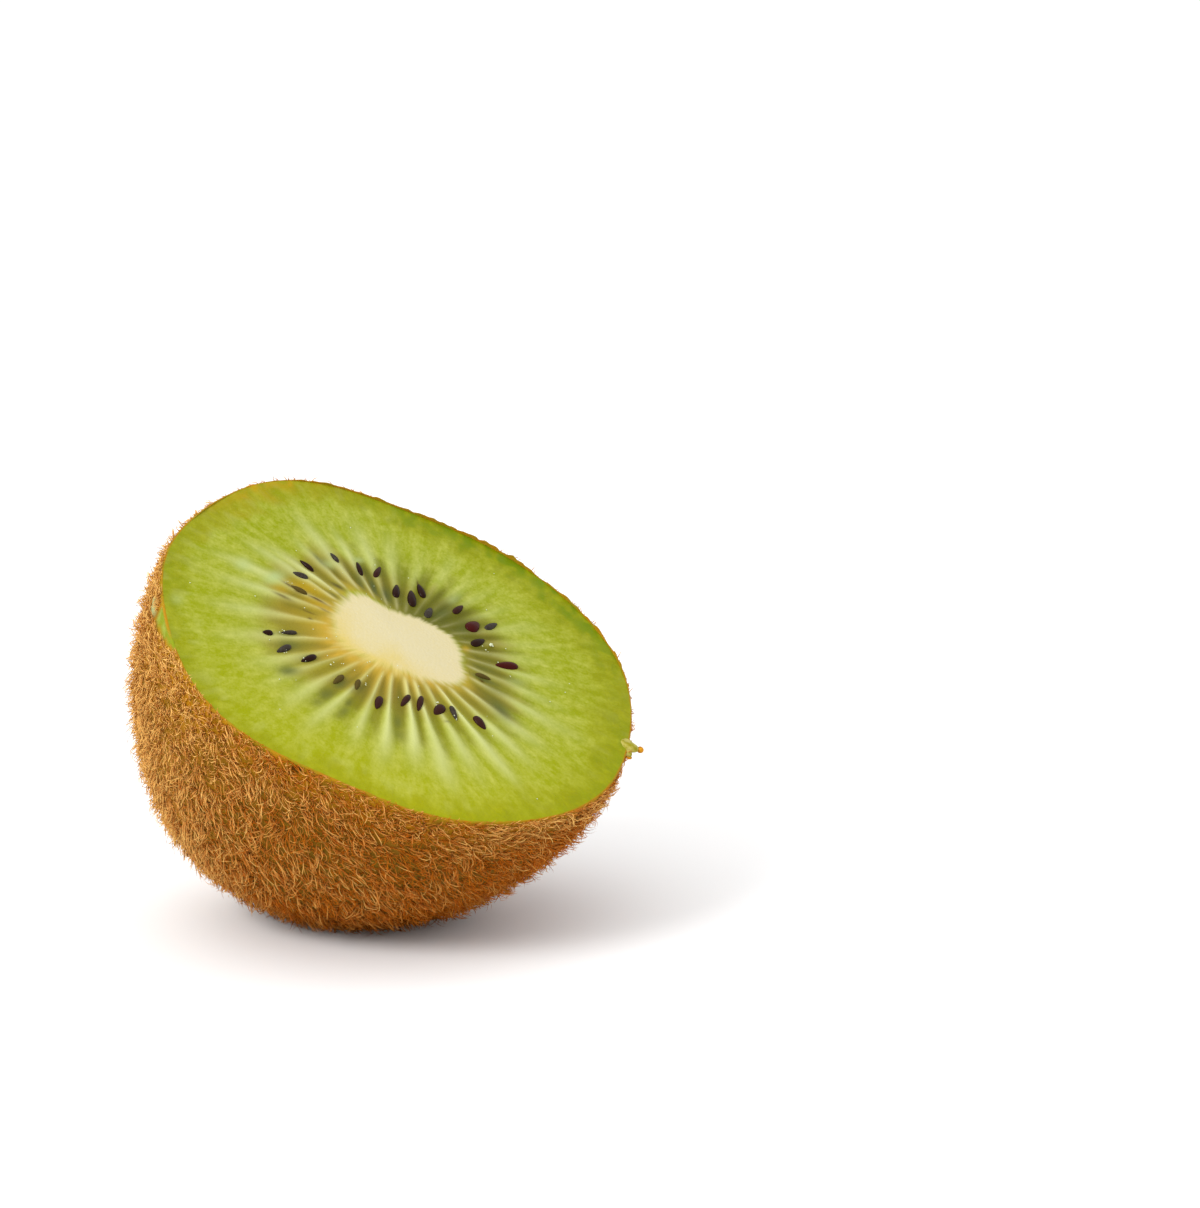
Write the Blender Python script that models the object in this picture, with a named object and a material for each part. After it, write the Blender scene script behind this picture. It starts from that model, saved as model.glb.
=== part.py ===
"""A kiwi fruit half, cut across the middle and set down on its rounded side, cut face up.

The fruit is made upright in its own frame: the cut is the plane z = 0 and the fruit hangs below
it, bearings run counterclockwise from +X as seen from above the cut. An empty then leans it
towards the front and the right, as it settles by itself, and lowers it onto z = 0, where the skin
has a small flat spot. World axes: +Z up, -Y to the front, the origin in the middle of the spot.
"""
import math

import bmesh
import bpy
import numpy as np
from mathutils import Euler, Matrix, Vector

MM = 0.001

# The fruit's form. A lobe is (number round the fruit, height in mm, bearing of its first crest).
FACE_RADIUS = 25.8 * MM
FACE_LOBES = ((2, 1.20, 2.0), (3, 0.33, 1.0), (4, 0.53, 36.0), (6, 0.14, -11.0), (7, 0.22, 20.0))
HALF_LENGTH = 34.0 * MM
FULLNESS_ALONG = 2.09
FULLNESS_ACROSS = 1.87
END_DRIFT = Vector((-1.76 * MM, 0.78 * MM, 0.0))
RIM_CHAMFER = 0.25 * MM

# The low scar at the end of the fruit.
SCAR_COLLAR_RADIUS = 2.1 * MM
SCAR_COLLAR_HEIGHT = 0.35 * MM
SCAR_DIMPLE_RADIUS = 1.2 * MM
SCAR_DIMPLE_DEPTH = 0.5 * MM

# The pale core, a spindle that runs from the cut almost to the end.
CORE_CENTRE = Vector((-0.15 * MM, 1.2 * MM, 0.0))
CORE_HALF_WIDTH = 7.65 * MM
CORE_HALF_HEIGHT = 5.0 * MM
CORE_SQUARENESS = 2.8
# Its drawn-out corners: bearing in degrees, reach and spread of the bulge in mm and degrees.
CORE_CORNERS = ((131.0, 2.1, 17.0), (-24.0, 0.8, 14.0))
CORE_LENGTH = 27.0 * MM
CORE_DOME = 0.25 * MM
FIT_GAP = 0.3 * MM

# Low relief of the cut: whitish rays stand up between the seed chambers. The stretches are
# shares of the way from the core to the rim.
RAYS = 35
FIRST_RAY = 7.0
RAY_HEIGHT = 0.12 * MM
RAY_RISE = (0.0, 0.15)
RAY_FADE = (0.55, 0.85)
CHAMBER_DIP = 0.15 * MM
CHAMBER_RISE = (0.0, 0.18)
CHAMBER_FADE = (0.30, 0.60)

# Seeds: bearing in degrees, distance from the middle of the face, length and width in mm, and
# the turn in degrees away from lying along the rays.
SEEDS = (
    (94, 9.6, 2.3, 1.0, -6), (83, 9.3, 2.7, 1.2, 12), (79, 11.2, 2.2, 1.0, 30), (68, 8.4, 2.0, 1.0, 7),
    (57, 11.9, 2.1, 0.9, 3), (44, 11.5, 2.2, 1.7, 16), (41, 13.7, 2.1, 0.9, 9), (32, 10.5, 2.2, 1.1, 16),
    (15, 12.7, 2.8, 1.3, 187), (1, 9.6, 1.8, 0.6, -3), (-38, 12.0, 2.0, 1.2, -12), (-48, 9.7, 2.1, 0.7, -20),
    (-57, 8.9, 2.0, 1.3, -60), (-70, 7.9, 2.5, 0.8, -27), (-82, 7.8, 2.3, 0.8, -30), (259, 9.6, 2.1, 1.0, 1),
    (241, 8.8, 1.7, 0.7, 20), (231, 10.1, 2.0, 0.8, 9), (212, 11.5, 2.3, 0.9, 15), (205, 13.8, 2.2, 0.9, 25),
    (196, 15.0, 1.2, 0.9, 0), (194, 12.5, 1.9, 0.6, 10), (159, 12.3, 2.0, 0.7, 3), (149, 13.4, 1.8, 0.9, 26),
    (141, 14.0, 2.0, 0.7, 4), (124, 14.1, 1.6, 0.6, 6), (114, 12.3, 2.2, 0.7, -6), (104, 12.1, 2.2, 0.8, -29),
)
SEED_THICKNESS = 0.8 * MM
SEED_TAPER = 0.45
SEED_SEGMENTS = 6
SEED_RINGS = 4

# A torn scrap of flesh and skin that stands out at the right of the rim.
TAG_BEARING = -10.5
TAG_SIZE = (2.4 * MM, 1.5 * MM, 1.0 * MM)
TAG_OUT = 0.35 * MM

# The way the half lies.
LEAN_FRONT = math.radians(26.9)
LEAN_RIGHT = math.radians(23.4)
FLAT_DEPTH = 0.3 * MM

# Fineness of the meshes.
FACE_BEARINGS = 4 * RAYS
SKIN_BEARINGS = FACE_BEARINGS // 2
SKIN_RINGS = 17
CORE_RINGS = 8
CORE_DOME_SHARES = (0.8, 0.45)
FACE_REACHES = (0.07, 0.18, 0.32, 0.46, 0.60, 0.74, 0.88)
LAST_SKIN_ANGLE = math.radians(83.0)
SHARP_EDGE = math.radians(50.0)
SEARCH_BEARINGS = 720
SEARCH_SHARES = np.linspace(0.5, 1.0, 251)

MATERIALS = {
    "skin": ((0.30, 0.13, 0.03, 1.0), 0.85),
    "flesh": ((0.42, 0.50, 0.05, 1.0), 0.30),
    "core": ((0.80, 0.74, 0.42, 1.0), 0.35),
    "seed": ((0.03, 0.01, 0.01, 1.0), 0.20),
}


def material(name):
    """One of the fruit's materials, made the first time it is asked for."""
    made = bpy.data.materials.get(name)
    if made is None:
        colour, roughness = MATERIALS[name]
        made = bpy.data.materials.new(name)
        made.use_nodes = True
        shader = made.node_tree.nodes["Principled BSDF"]
        shader.inputs["Base Color"].default_value = colour
        shader.inputs["Roughness"].default_value = roughness
        shader.inputs["Metallic"].default_value = 0.0
        made.diffuse_color = colour
    return made


def rim_radius(bearing, fade=1.0):
    """The radius of the fruit at a bearing in radians, with its lobes faded towards the end."""
    swell = 0.0
    for count, height, crest in FACE_LOBES:
        swell += height * MM * math.cos(count * (bearing - math.radians(crest)))
    return FACE_RADIUS + fade * swell


def core_radius(bearing):
    """The radius of the core's rounded oblong, with its drawn-out corners."""
    wide = abs(math.cos(bearing) / CORE_HALF_WIDTH) ** CORE_SQUARENESS
    high = abs(math.sin(bearing) / CORE_HALF_HEIGHT) ** CORE_SQUARENESS
    radius = (wide + high) ** (-1.0 / CORE_SQUARENESS)
    for corner, bulge, spread in CORE_CORNERS:
        off = math.remainder(bearing - math.radians(corner), 2 * math.pi) / math.radians(spread)
        radius += bulge * MM * math.exp(-off ** 2)
    return radius


def round_and_round(count):
    """Evenly spaced bearings in radians."""
    return [2 * math.pi * i / count for i in range(count)]


def fruit_point(bearing, share):
    """A point of the skin, share of the half's length below the cut."""
    across = max(0.0, 1.0 - share ** FULLNESS_ALONG) ** (1.0 / FULLNESS_ACROSS)
    radius = rim_radius(bearing, fade=1.0 - share) * across
    centre = END_DRIFT * share ** 2
    return centre + Vector((radius * math.cos(bearing), radius * math.sin(bearing), -share * HALF_LENGTH))


def core_point(bearing, share, grow=0.0):
    """A point of the core's side, share of its length below the cut, or of its pocket if grown."""
    across = math.sqrt(max(0.0, 1.0 - share ** 2))
    radius = core_radius(bearing) * across + grow
    depth = share * (CORE_LENGTH + grow)
    return CORE_CENTRE + Vector((radius * math.cos(bearing), radius * math.sin(bearing), -depth))


def step(low, high, value):
    """A smooth step from 0 at low to 1 at high."""
    t = min(1.0, max(0.0, (value - low) / (high - low)))
    return t * t * (3.0 - 2.0 * t)


def face_point(bearing, reach):
    """A point of the cut, from 0 at the core's pocket to 1 at the rim."""
    inner = core_point(bearing, 0.0, FIT_GAP)
    outer = fruit_point(bearing, 0.0) * (1.0 - RIM_CHAMFER / FACE_RADIUS)
    point = inner.lerp(outer, reach)
    ray = math.cos(RAYS * (bearing - math.radians(FIRST_RAY)))
    ray_strength = step(*RAY_RISE, reach) * (1.0 - step(*RAY_FADE, reach))
    chamber = step(*CHAMBER_RISE, reach) * (1.0 - step(*CHAMBER_FADE, reach))
    point.z = RAY_HEIGHT * ray * ray_strength - CHAMBER_DIP * chamber
    return point


def ring(mesh, points):
    """A ring of new vertices."""
    return [mesh.verts.new(point) for point in points]


def band(mesh, finer, coarser, slot=0):
    """Faces between two rings, of which the first has as many points or twice as many."""
    faces = []
    ratio = len(finer) // len(coarser)
    for i, vertex in enumerate(coarser):
        following = coarser[(i + 1) % len(coarser)]
        run = [finer[(ratio * i + k) % len(finer)] for k in range(ratio + 1)]
        if ratio == 1:
            faces.append(mesh.faces.new((vertex, following, run[1], run[0])))
        else:
            faces.append(mesh.faces.new((vertex, run[1], run[0])))
            faces.append(mesh.faces.new((vertex, following, run[1])))
            faces.append(mesh.faces.new((following, run[2], run[1])))
    for face in faces:
        face.material_index = slot


def fan(mesh, rim, point, slot=0):
    """A cone of faces from a ring to one point."""
    tip = mesh.verts.new(point)
    for i, vertex in enumerate(rim):
        mesh.faces.new((vertex, rim[(i + 1) % len(rim)], tip)).material_index = slot


def finished(mesh, name, slots):
    """An object from a closed mesh, with its faces pointing out and smooth."""
    bmesh.ops.recalc_face_normals(mesh, faces=mesh.faces)
    bmesh.ops.triangulate(mesh, faces=mesh.faces)
    data = bpy.data.meshes.new(name)
    mesh.to_mesh(data)
    mesh.free()
    for slot in slots:
        data.materials.append(material(slot))
    data.shade_smooth()
    data.set_sharp_from_angle(angle=SHARP_EDGE)
    made = bpy.data.objects.new(name, data)
    bpy.context.collection.objects.link(made)
    return made


def pose():
    """Where the empty stands: leaned, and lowered until the flat spot's middle is the origin."""
    lean = Euler((LEAN_FRONT, 0.0, 0.0)).to_matrix() @ Euler((0.0, LEAN_RIGHT, 0.0)).to_matrix()
    bearings = round_and_round(SEARCH_BEARINGS)
    lowest = min((lean @ fruit_point(b, s) for b in bearings for s in SEARCH_SHARES), key=lambda p: p.z)
    return Matrix.Translation(-lowest - Vector((0.0, 0.0, FLAT_DEPTH))) @ lean.to_4x4()


def skin_side(mesh, rim):
    """The skin from the rim down to the scar at the end."""
    bearings = round_and_round(SKIN_BEARINGS)
    above = rim
    for i in range(1, SKIN_RINGS + 1):
        share = math.sin(LAST_SKIN_ANGLE * i / SKIN_RINGS)
        below = ring(mesh, [fruit_point(b, share) for b in bearings])
        band(mesh, above, below, slot=1)
        above = below
    end = END_DRIFT - Vector((0.0, 0.0, HALF_LENGTH))
    for radius, down in ((SCAR_COLLAR_RADIUS, SCAR_COLLAR_HEIGHT), (SCAR_DIMPLE_RADIUS, 0.0)):
        points = [end + Vector((radius * math.cos(b), radius * math.sin(b), -down)) for b in bearings]
        below = ring(mesh, points)
        band(mesh, above, below, slot=1)
        above = below
    fan(mesh, above, end + Vector((0.0, 0.0, SCAR_DIMPLE_DEPTH)), slot=1)


def pocket(mesh, mouth):
    """The hollow that the core fills, from its mouth in the cut down to its tip."""
    bearings = round_and_round(SKIN_BEARINGS)
    above = mouth
    for i in range(1, CORE_RINGS):
        share = math.sin(math.pi / 2 * i / CORE_RINGS)
        below = ring(mesh, [core_point(b, share, FIT_GAP) for b in bearings])
        band(mesh, above, below)
        above = below
    fan(mesh, above, CORE_CENTRE - Vector((0.0, 0.0, CORE_LENGTH + FIT_GAP)))


def cut_flat(mesh, place):
    """Cuts the small flat spot that the fruit rests on, at the world's z = 0."""
    back = place.inverted()
    table = {"plane_co": back.translation, "plane_no": back.to_3x3() @ Vector((0.0, 0.0, -1.0))}
    geometry = mesh.verts[:] + mesh.edges[:] + mesh.faces[:]
    cut = bmesh.ops.bisect_plane(mesh, geom=geometry, clear_outer=True, **table)
    edges = [part for part in cut["geom_cut"] if isinstance(part, bmesh.types.BMEdge)]
    for face in bmesh.ops.edgeloop_fill(mesh, edges=edges)["faces"]:
        face.material_index = 1


def make_fruit(place):
    """Flesh and skin in one: the cut, the side and the core's pocket."""
    mesh = bmesh.new()
    bearings = round_and_round(FACE_BEARINGS)
    mouth = ring(mesh, [face_point(b, 0.0) for b in bearings])
    inner = mouth
    for reach in FACE_REACHES + (1.0,):
        outer = ring(mesh, [face_point(b, reach) for b in bearings])
        band(mesh, outer, inner)
        inner = outer
    rim = ring(mesh, [fruit_point(b, RIM_CHAMFER / HALF_LENGTH) for b in bearings])
    band(mesh, rim, inner, slot=1)
    skin_side(mesh, rim)
    pocket(mesh, mouth)
    cut_flat(mesh, place)
    return finished(mesh, "fruit", ("flesh", "skin"))


def make_core():
    """The pale core: a shallow dome on a spindle."""
    mesh = bmesh.new()
    bearings = round_and_round(SKIN_BEARINGS)
    edge = ring(mesh, [core_point(b, 0.0) for b in bearings])
    above = edge
    for i in range(1, CORE_RINGS):
        share = math.sin(math.pi / 2 * i / CORE_RINGS)
        below = ring(mesh, [core_point(b, share) for b in bearings])
        band(mesh, above, below)
        above = below
    fan(mesh, above, CORE_CENTRE - Vector((0.0, 0.0, CORE_LENGTH)))
    above = edge
    for share in CORE_DOME_SHARES:
        rise = Vector((0.0, 0.0, CORE_DOME * (1.0 - share ** 2)))
        inner = ring(mesh, [CORE_CENTRE.lerp(core_point(b, 0.0), share) + rise for b in bearings])
        band(mesh, above, inner)
        above = inner
    fan(mesh, above, CORE_CENTRE + Vector((0.0, 0.0, CORE_DOME)))
    return finished(mesh, "core", ("core",))


def pip(name, size, place, slot):
    """A few-sided drop, blunt at one end, of a given length, width and thickness."""
    mesh = bmesh.new()
    bmesh.ops.create_uvsphere(mesh, u_segments=SEED_SEGMENTS, v_segments=SEED_RINGS, radius=0.5)
    for vertex in mesh.verts:
        along, across, up = vertex.co.z, vertex.co.x, vertex.co.y
        slim = 1.0 - SEED_TAPER * (along + 0.5)
        vertex.co = place @ Vector((along * size[0], across * size[1] * slim, up * size[2] * slim))
    return finished(mesh, name, (slot,))


def make_seeds():
    """The seeds that lie open in the cut."""
    seeds = []
    for number, (bearing, distance, length, width, turn) in enumerate(SEEDS, 1):
        angle = math.radians(bearing)
        spot = Vector((distance * MM * math.cos(angle), distance * MM * math.sin(angle), -CHAMBER_DIP))
        place = Matrix.Translation(spot) @ Matrix.Rotation(angle + math.radians(turn), 4, "Z")
        size = (length * MM, width * MM, SEED_THICKNESS)
        seeds.append(pip(f"seed_{number:02d}", size, place, "seed"))
    return seeds


def make_tag():
    """The torn scrap at the rim."""
    angle = math.radians(TAG_BEARING)
    spot = fruit_point(angle, RIM_CHAMFER / HALF_LENGTH)
    spot += Vector((TAG_OUT * math.cos(angle), TAG_OUT * math.sin(angle), -TAG_OUT))
    place = Matrix.Translation(spot) @ Matrix.Rotation(angle, 4, "Z")
    return pip("tag", TAG_SIZE, place, "flesh")


def fuse(base, pieces):
    """Joins small pieces to the body that they lie on, and removes them."""
    group = bpy.data.collections.new("fused")
    bpy.context.scene.collection.children.link(group)
    for piece in pieces:
        bpy.context.collection.objects.unlink(piece)
        group.objects.link(piece)
    union = base.modifiers.new("fused", "BOOLEAN")
    union.operation = "UNION"
    union.operand_type = "COLLECTION"
    union.collection = group
    union.solver = "EXACT"
    union.material_mode = "TRANSFER"
    bpy.context.view_layer.objects.active = base
    bpy.ops.object.modifier_apply(modifier=union.name)
    for piece in pieces:
        bpy.data.objects.remove(piece, do_unlink=True)
    bpy.data.collections.remove(group)


def main():
    """Clears the scene and builds the half."""
    for old in list(bpy.data.objects):
        bpy.data.objects.remove(old, do_unlink=True)
    place = pose()
    fruit = make_fruit(place)
    fuse(fruit, make_seeds() + [make_tag()])
    core = make_core()
    lean = bpy.data.objects.new("lean", None)
    bpy.context.collection.objects.link(lean)
    lean.matrix_world = place
    for piece in (fruit, core):
        piece.parent = lean


main()
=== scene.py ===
"""Looks of half a green kiwi fruit, cut across and lying on its rounded, hairy side.

The fruit is shaped upright in its own frame, in millimetres: the cut is the plane z = 0, the fruit
hangs below it, and bearings run counterclockwise from +X as seen from above the cut. One matrix
then leans it and sets it down, by the same rule as the solids. What is painted on the cut is worked
out as masks from distances to the rays, the core and the rim, and the materials mix their colours
by those masks and by noise.
"""
import logging
import math
from dataclasses import dataclass, field
from enum import Enum

import bpy
import numpy as np
from mathutils import Euler, Matrix, Vector
from mathutils.kdtree import KDTree


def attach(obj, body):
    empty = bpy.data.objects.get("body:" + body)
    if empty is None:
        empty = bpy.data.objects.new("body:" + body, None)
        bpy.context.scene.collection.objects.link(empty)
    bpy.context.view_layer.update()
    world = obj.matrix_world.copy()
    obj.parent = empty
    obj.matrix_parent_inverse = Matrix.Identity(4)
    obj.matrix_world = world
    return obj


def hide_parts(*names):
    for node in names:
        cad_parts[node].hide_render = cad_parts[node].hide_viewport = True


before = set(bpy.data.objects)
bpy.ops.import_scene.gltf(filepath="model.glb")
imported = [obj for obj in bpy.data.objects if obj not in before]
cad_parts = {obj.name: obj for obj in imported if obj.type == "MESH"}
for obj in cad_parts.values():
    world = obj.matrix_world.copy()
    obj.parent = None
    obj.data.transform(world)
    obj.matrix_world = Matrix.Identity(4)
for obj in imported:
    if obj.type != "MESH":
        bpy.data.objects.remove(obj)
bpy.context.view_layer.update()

LOG = logging.getLogger("kiwi")
MM = 0.001
BODY = "root"

# Sockets of a Mix node that mixes colours.
MIX_FACTOR = 0
MIX_A = 6
MIX_B = 7
MIX_RESULT = 2

# Large odd numbers that turn a lattice corner and a seed into a scattered number.
SCATTER = (73856093, 19349663, 83492791)
SCATTER_SEED = 9176131
SCATTER_AGAIN = 1274126177
WORD = 0xFFFFFFFF
HALF_WORD = 0xFFFF


class Slot(Enum):
    """Names of material slots, which no piece here is given."""

    FLESH = "flesh"
    CORE = "core"
    SKIN = "skin"
    FUZZ = "fuzz"
    SEED = "seed"


class SeedLook(Enum):
    """How a seed shows: (redness, greyness, gloss) of its coat, each from 0 to 1; greyness is partly painted
    sheen.
    """

    DARK = (0.15, 0.0, 1.0)
    RED = (1.0, 0.0, 1.0)
    BROWN = (0.5, 0.1, 0.7)
    GREY_SHEEN = (0.1, 0.6, 0.7)
    DIM = (0.3, 0.0, 0.0)


def linear(code: str) -> tuple[float, float, float, float]:
    """Turns an sRGB hex colour into linear red, green, blue and alpha.

    Args:
        code: six hex digits, such as "E9DDAB".

    Returns:
        The four linear values.
    """
    values = []
    for place in (0, 2, 4):
        share = int(code[place:place + 2], 16) / 255.0
        values.append(share / 12.92 if share <= 0.04045 else ((share + 0.055) / 1.055) ** 2.4)
    return (values[0], values[1], values[2], 1.0)


def step(low: float, high: float, value: np.ndarray) -> np.ndarray:
    """A smooth step from 0 at low to 1 at high.

    Args:
        low: where the step starts.
        high: where it ends.
        value: the numbers to judge.

    Returns:
        Numbers from 0 to 1.
    """
    share = np.clip((value - low) / (high - low), 0.0, 1.0)
    return share * share * (3.0 - 2.0 * share)


def around(bearing: np.ndarray, centre: float, spread: float) -> np.ndarray:
    """A soft hump over bearings.

    Args:
        bearing: bearings in degrees.
        centre: bearing of the crest in degrees.
        spread: half width in degrees.

    Returns:
        1 at the crest, falling to 0.
    """
    off = (bearing - centre + 180.0) % 360.0 - 180.0
    return np.exp(-(off / spread) ** 2)


def eased(count: int) -> list[float]:
    """Shares between 0 and 1 that crowd towards 1.

    Args:
        count: how many.

    Returns:
        The shares, rising.
    """
    return [math.sin(math.pi / 2 * number / (count + 1)) for number in range(1, count + 1)]


def noise(points: np.ndarray, cell: float, seed: int) -> np.ndarray:
    """Smooth lattice noise.

    Args:
        points: rows of three coordinates in mm.
        cell: size of one lattice cell in mm.
        seed: picks the pattern.

    Returns:
        Numbers from 0 to 1, one for each row.
    """
    place = points / cell
    base = np.floor(place).astype(np.int64)
    part = place - base
    part = part * part * (3.0 - 2.0 * part)
    total = np.zeros(len(points))
    for corner in range(8):
        bits = np.array([corner & 1, corner >> 1 & 1, corner >> 2 & 1])
        spot = base + bits
        mixed = np.bitwise_xor.reduce(spot * SCATTER, axis=1) ^ (seed * SCATTER_SEED)
        mixed = ((mixed ^ (mixed >> 13)) * SCATTER_AGAIN) & WORD
        mixed ^= mixed >> 15
        weight = np.prod(np.where(bits == 1, part, 1.0 - part), axis=1)
        total += weight * (mixed & HALF_WORD) / HALF_WORD
    return total


def add_node(tree: bpy.types.NodeTree, kind: str, settings: dict | None = None,
             inputs: dict | None = None) -> bpy.types.Node:
    """Adds a node with its settings and links.

    Args:
        tree: the node tree that takes it.
        kind: the node's type.
        settings: attributes of the node.
        inputs: socket name or number, and the constant or the output that feeds it.

    Returns:
        The new node.
    """
    node = tree.nodes.new(kind)
    for name, value in (settings or {}).items():
        setattr(node, name, value)
    for key, value in (inputs or {}).items():
        if isinstance(value, bpy.types.NodeSocket):
            tree.links.new(value, node.inputs[key])
        else:
            node.inputs[key].default_value = value
    return node


def new_material(name: str) -> tuple[bpy.types.Material, bpy.types.NodeTree, bpy.types.Node]:
    """Starts a material.

    Args:
        name: what the real one is.

    Returns:
        The material, its node tree and its Principled shader.
    """
    made = bpy.data.materials.new(name)
    made.use_nodes = True
    tree = made.node_tree
    return made, tree, tree.nodes["Principled BSDF"]


def mix_layers(tree: bpy.types.NodeTree, base: object, layers: list) -> bpy.types.NodeSocket:
    """Lays colours over each other.

    Args:
        tree: the node tree.
        base: the lowest colour, a constant or an output.
        layers: pairs of a mask output and the colour that it lets through.

    Returns:
        The output with the mixed colour.
    """
    for mask, colour in layers:
        mixed = add_node(tree, "ShaderNodeMix", {"data_type": "RGBA", "clamp_factor": True},
                         {MIX_FACTOR: mask, MIX_A: base, MIX_B: colour})
        base = mixed.outputs[MIX_RESULT]
    return base


def deselect_all() -> None:
    """Leaves nothing selected."""
    bpy.ops.object.select_all(action="DESELECT")


def copy_placed(model: bpy.types.Object, placing: Matrix) -> bpy.types.Object:
    """Copies a model with a mesh of its own.

    Args:
        model: what is copied.
        placing: moves the copy's mesh to its place.

    Returns:
        The copy, at the origin with its place in the mesh.
    """
    made = model.copy()
    made.data = model.data.copy()
    bpy.context.collection.objects.link(made)
    made.data.transform(placing)
    return made


def join_parts(parts: list, name: str) -> bpy.types.Object:
    """Joins mesh objects into one piece.

    Args:
        parts: the objects; the first takes up the others.
        name: the piece's name.

    Returns:
        The piece.
    """
    deselect_all()
    for part in parts:
        part.select_set(True)
    bpy.context.view_layer.objects.active = parts[0]
    bpy.ops.object.join()
    parts[0].name = name
    parts[0].data.name = name
    return parts[0]


def write_attribute(piece: bpy.types.Object, name: str, values: np.ndarray) -> None:
    """Writes three numbers for each vertex as a colour attribute.

    Args:
        piece: the mesh object.
        name: the attribute's name.
        values: rows of three numbers.
    """
    layer = piece.data.attributes.new(name, "FLOAT_COLOR", "POINT")
    rows = np.ones((len(values), 4), np.float32)
    rows[:, :3] = values
    layer.data.foreach_set("color", rows.ravel())


def hand_over(piece: bpy.types.Object, node: str | None, material: bpy.types.Material) -> None:
    """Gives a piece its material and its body.

    Args:
        piece: the finished object.
        node: the solid that the piece stands for, if any.
        material: the piece's material.
    """
    piece.data.materials.clear()
    piece.data.materials.append(material)
    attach(piece, BODY)
    if node:
        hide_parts(node)
    LOG.info("%s: %d triangles", piece.name, len(piece.data.loops) - 2 * len(piece.data.polygons))


@dataclass(frozen=True)
class Form:
    """The half's shape in its own upright frame, in mm and degrees, as the solids have it."""

    face_radius: float = 25.8
    lobes: tuple = ((2, 1.20, 2.0), (3, 0.33, 1.0), (4, 0.53, 36.0), (6, 0.14, -11.0), (7, 0.22, 20.0))
    half_length: float = 34.0
    fullness_along: float = 2.09
    fullness_across: float = 1.87
    end_drift: tuple = (-1.76, 0.78)
    core_centre: tuple = (-0.15, 1.2)
    core_half_width: float = 7.65
    core_half_height: float = 5.0
    core_squareness: float = 2.8
    core_corners: tuple = ((131.0, 2.1, 17.0), (-24.0, 0.8, 14.0))
    core_length: float = 27.0
    fit_gap: float = 0.3
    lean_front: float = 26.9
    lean_right: float = 23.4
    flat_depth: float = 0.3
    search_bearings: int = 720
    search_shares: int = 251

    def rim(self, bearing: np.ndarray, fade: np.ndarray | float = 1.0) -> np.ndarray:
        """The radius at a bearing in degrees, with the lobes faded towards the end."""
        swell = sum(height * np.cos(count * np.radians(bearing - crest))
                    for count, height, crest in self.lobes)
        return self.face_radius + fade * swell

    def core_edge(self, bearing: np.ndarray) -> np.ndarray:
        """The radius of the core's rounded oblong, with its drawn-out corners."""
        turn = np.radians(bearing)
        wide = np.abs(np.cos(turn) / self.core_half_width) ** self.core_squareness
        high = np.abs(np.sin(turn) / self.core_half_height) ** self.core_squareness
        radius = (wide + high) ** (-1.0 / self.core_squareness)
        bulges = sum(bulge * around(bearing, corner, spread)
                     for corner, bulge, spread in self.core_corners)
        return radius + bulges

    def skin_point(self, bearing: np.ndarray, share: np.ndarray, inset: float = 0.0) -> np.ndarray:
        """Points of the side.

        Args:
            bearing: bearings in degrees.
            share: shares of the half's length below the cut.
            inset: how far inside the skin, in mm.

        Returns:
            Points with a last axis of three.
        """
        bearing, share = np.broadcast_arrays(bearing, share)
        across = np.maximum(0.0, 1.0 - share ** self.fullness_along) ** (1.0 / self.fullness_across)
        radius = self.rim(bearing, 1.0 - share) * across * (1.0 - inset / self.face_radius)
        turn = np.radians(bearing)
        x = self.end_drift[0] * share ** 2 + radius * np.cos(turn)
        y = self.end_drift[1] * share ** 2 + radius * np.sin(turn)
        return np.stack([x, y, -share * (self.half_length - inset)], axis=-1)

    def core_point(self, bearing: np.ndarray, share: np.ndarray, grow: float) -> np.ndarray:
        """Points of the core's side, or of the pocket round it if grown by the gap."""
        bearing, share = np.broadcast_arrays(bearing, share)
        across = np.sqrt(np.maximum(0.0, 1.0 - share ** 2))
        radius = self.core_edge(bearing) * across + grow
        turn = np.radians(bearing)
        x = self.core_centre[0] + radius * np.cos(turn)
        y = self.core_centre[1] + radius * np.sin(turn)
        return np.stack([x, y, -share * (self.core_length + grow)], axis=-1)

    def lean(self) -> np.ndarray:
        """The rotation that leans the half to the front and the right."""
        front = Euler((math.radians(self.lean_front), 0.0, 0.0)).to_matrix()
        right = Euler((0.0, math.radians(self.lean_right), 0.0)).to_matrix()
        return np.array(front @ right)

    def lowest(self) -> np.ndarray:
        """The lowest point of the leaned half, in mm, which lands on the origin."""
        bearing = np.arange(self.search_bearings) * 360.0 / self.search_bearings
        share = np.linspace(0.5, 1.0, self.search_shares)
        points = self.skin_point(bearing[:, None], share[None, :]).reshape(-1, 3) @ self.lean().T
        return points[points[:, 2].argmin()]

    def to_world(self, points: np.ndarray) -> np.ndarray:
        """Leans points, sets them down and turns them into metres.

        Args:
            points: points in mm in the upright frame.

        Returns:
            World points in metres, none below the table.
        """
        drop = self.lowest() + np.array([0.0, 0.0, self.flat_depth])
        world = (points @ self.lean().T - drop) * MM
        world[..., 2] = np.maximum(world[..., 2], 0.0)
        return world

    def place(self) -> Matrix:
        """The same placing as a matrix, for pieces modelled in metres."""
        drop = (self.lowest() + np.array([0.0, 0.0, self.flat_depth])) * MM
        return Matrix.Translation(-Vector(drop)) @ Matrix(self.lean().tolist()).to_4x4()


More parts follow.
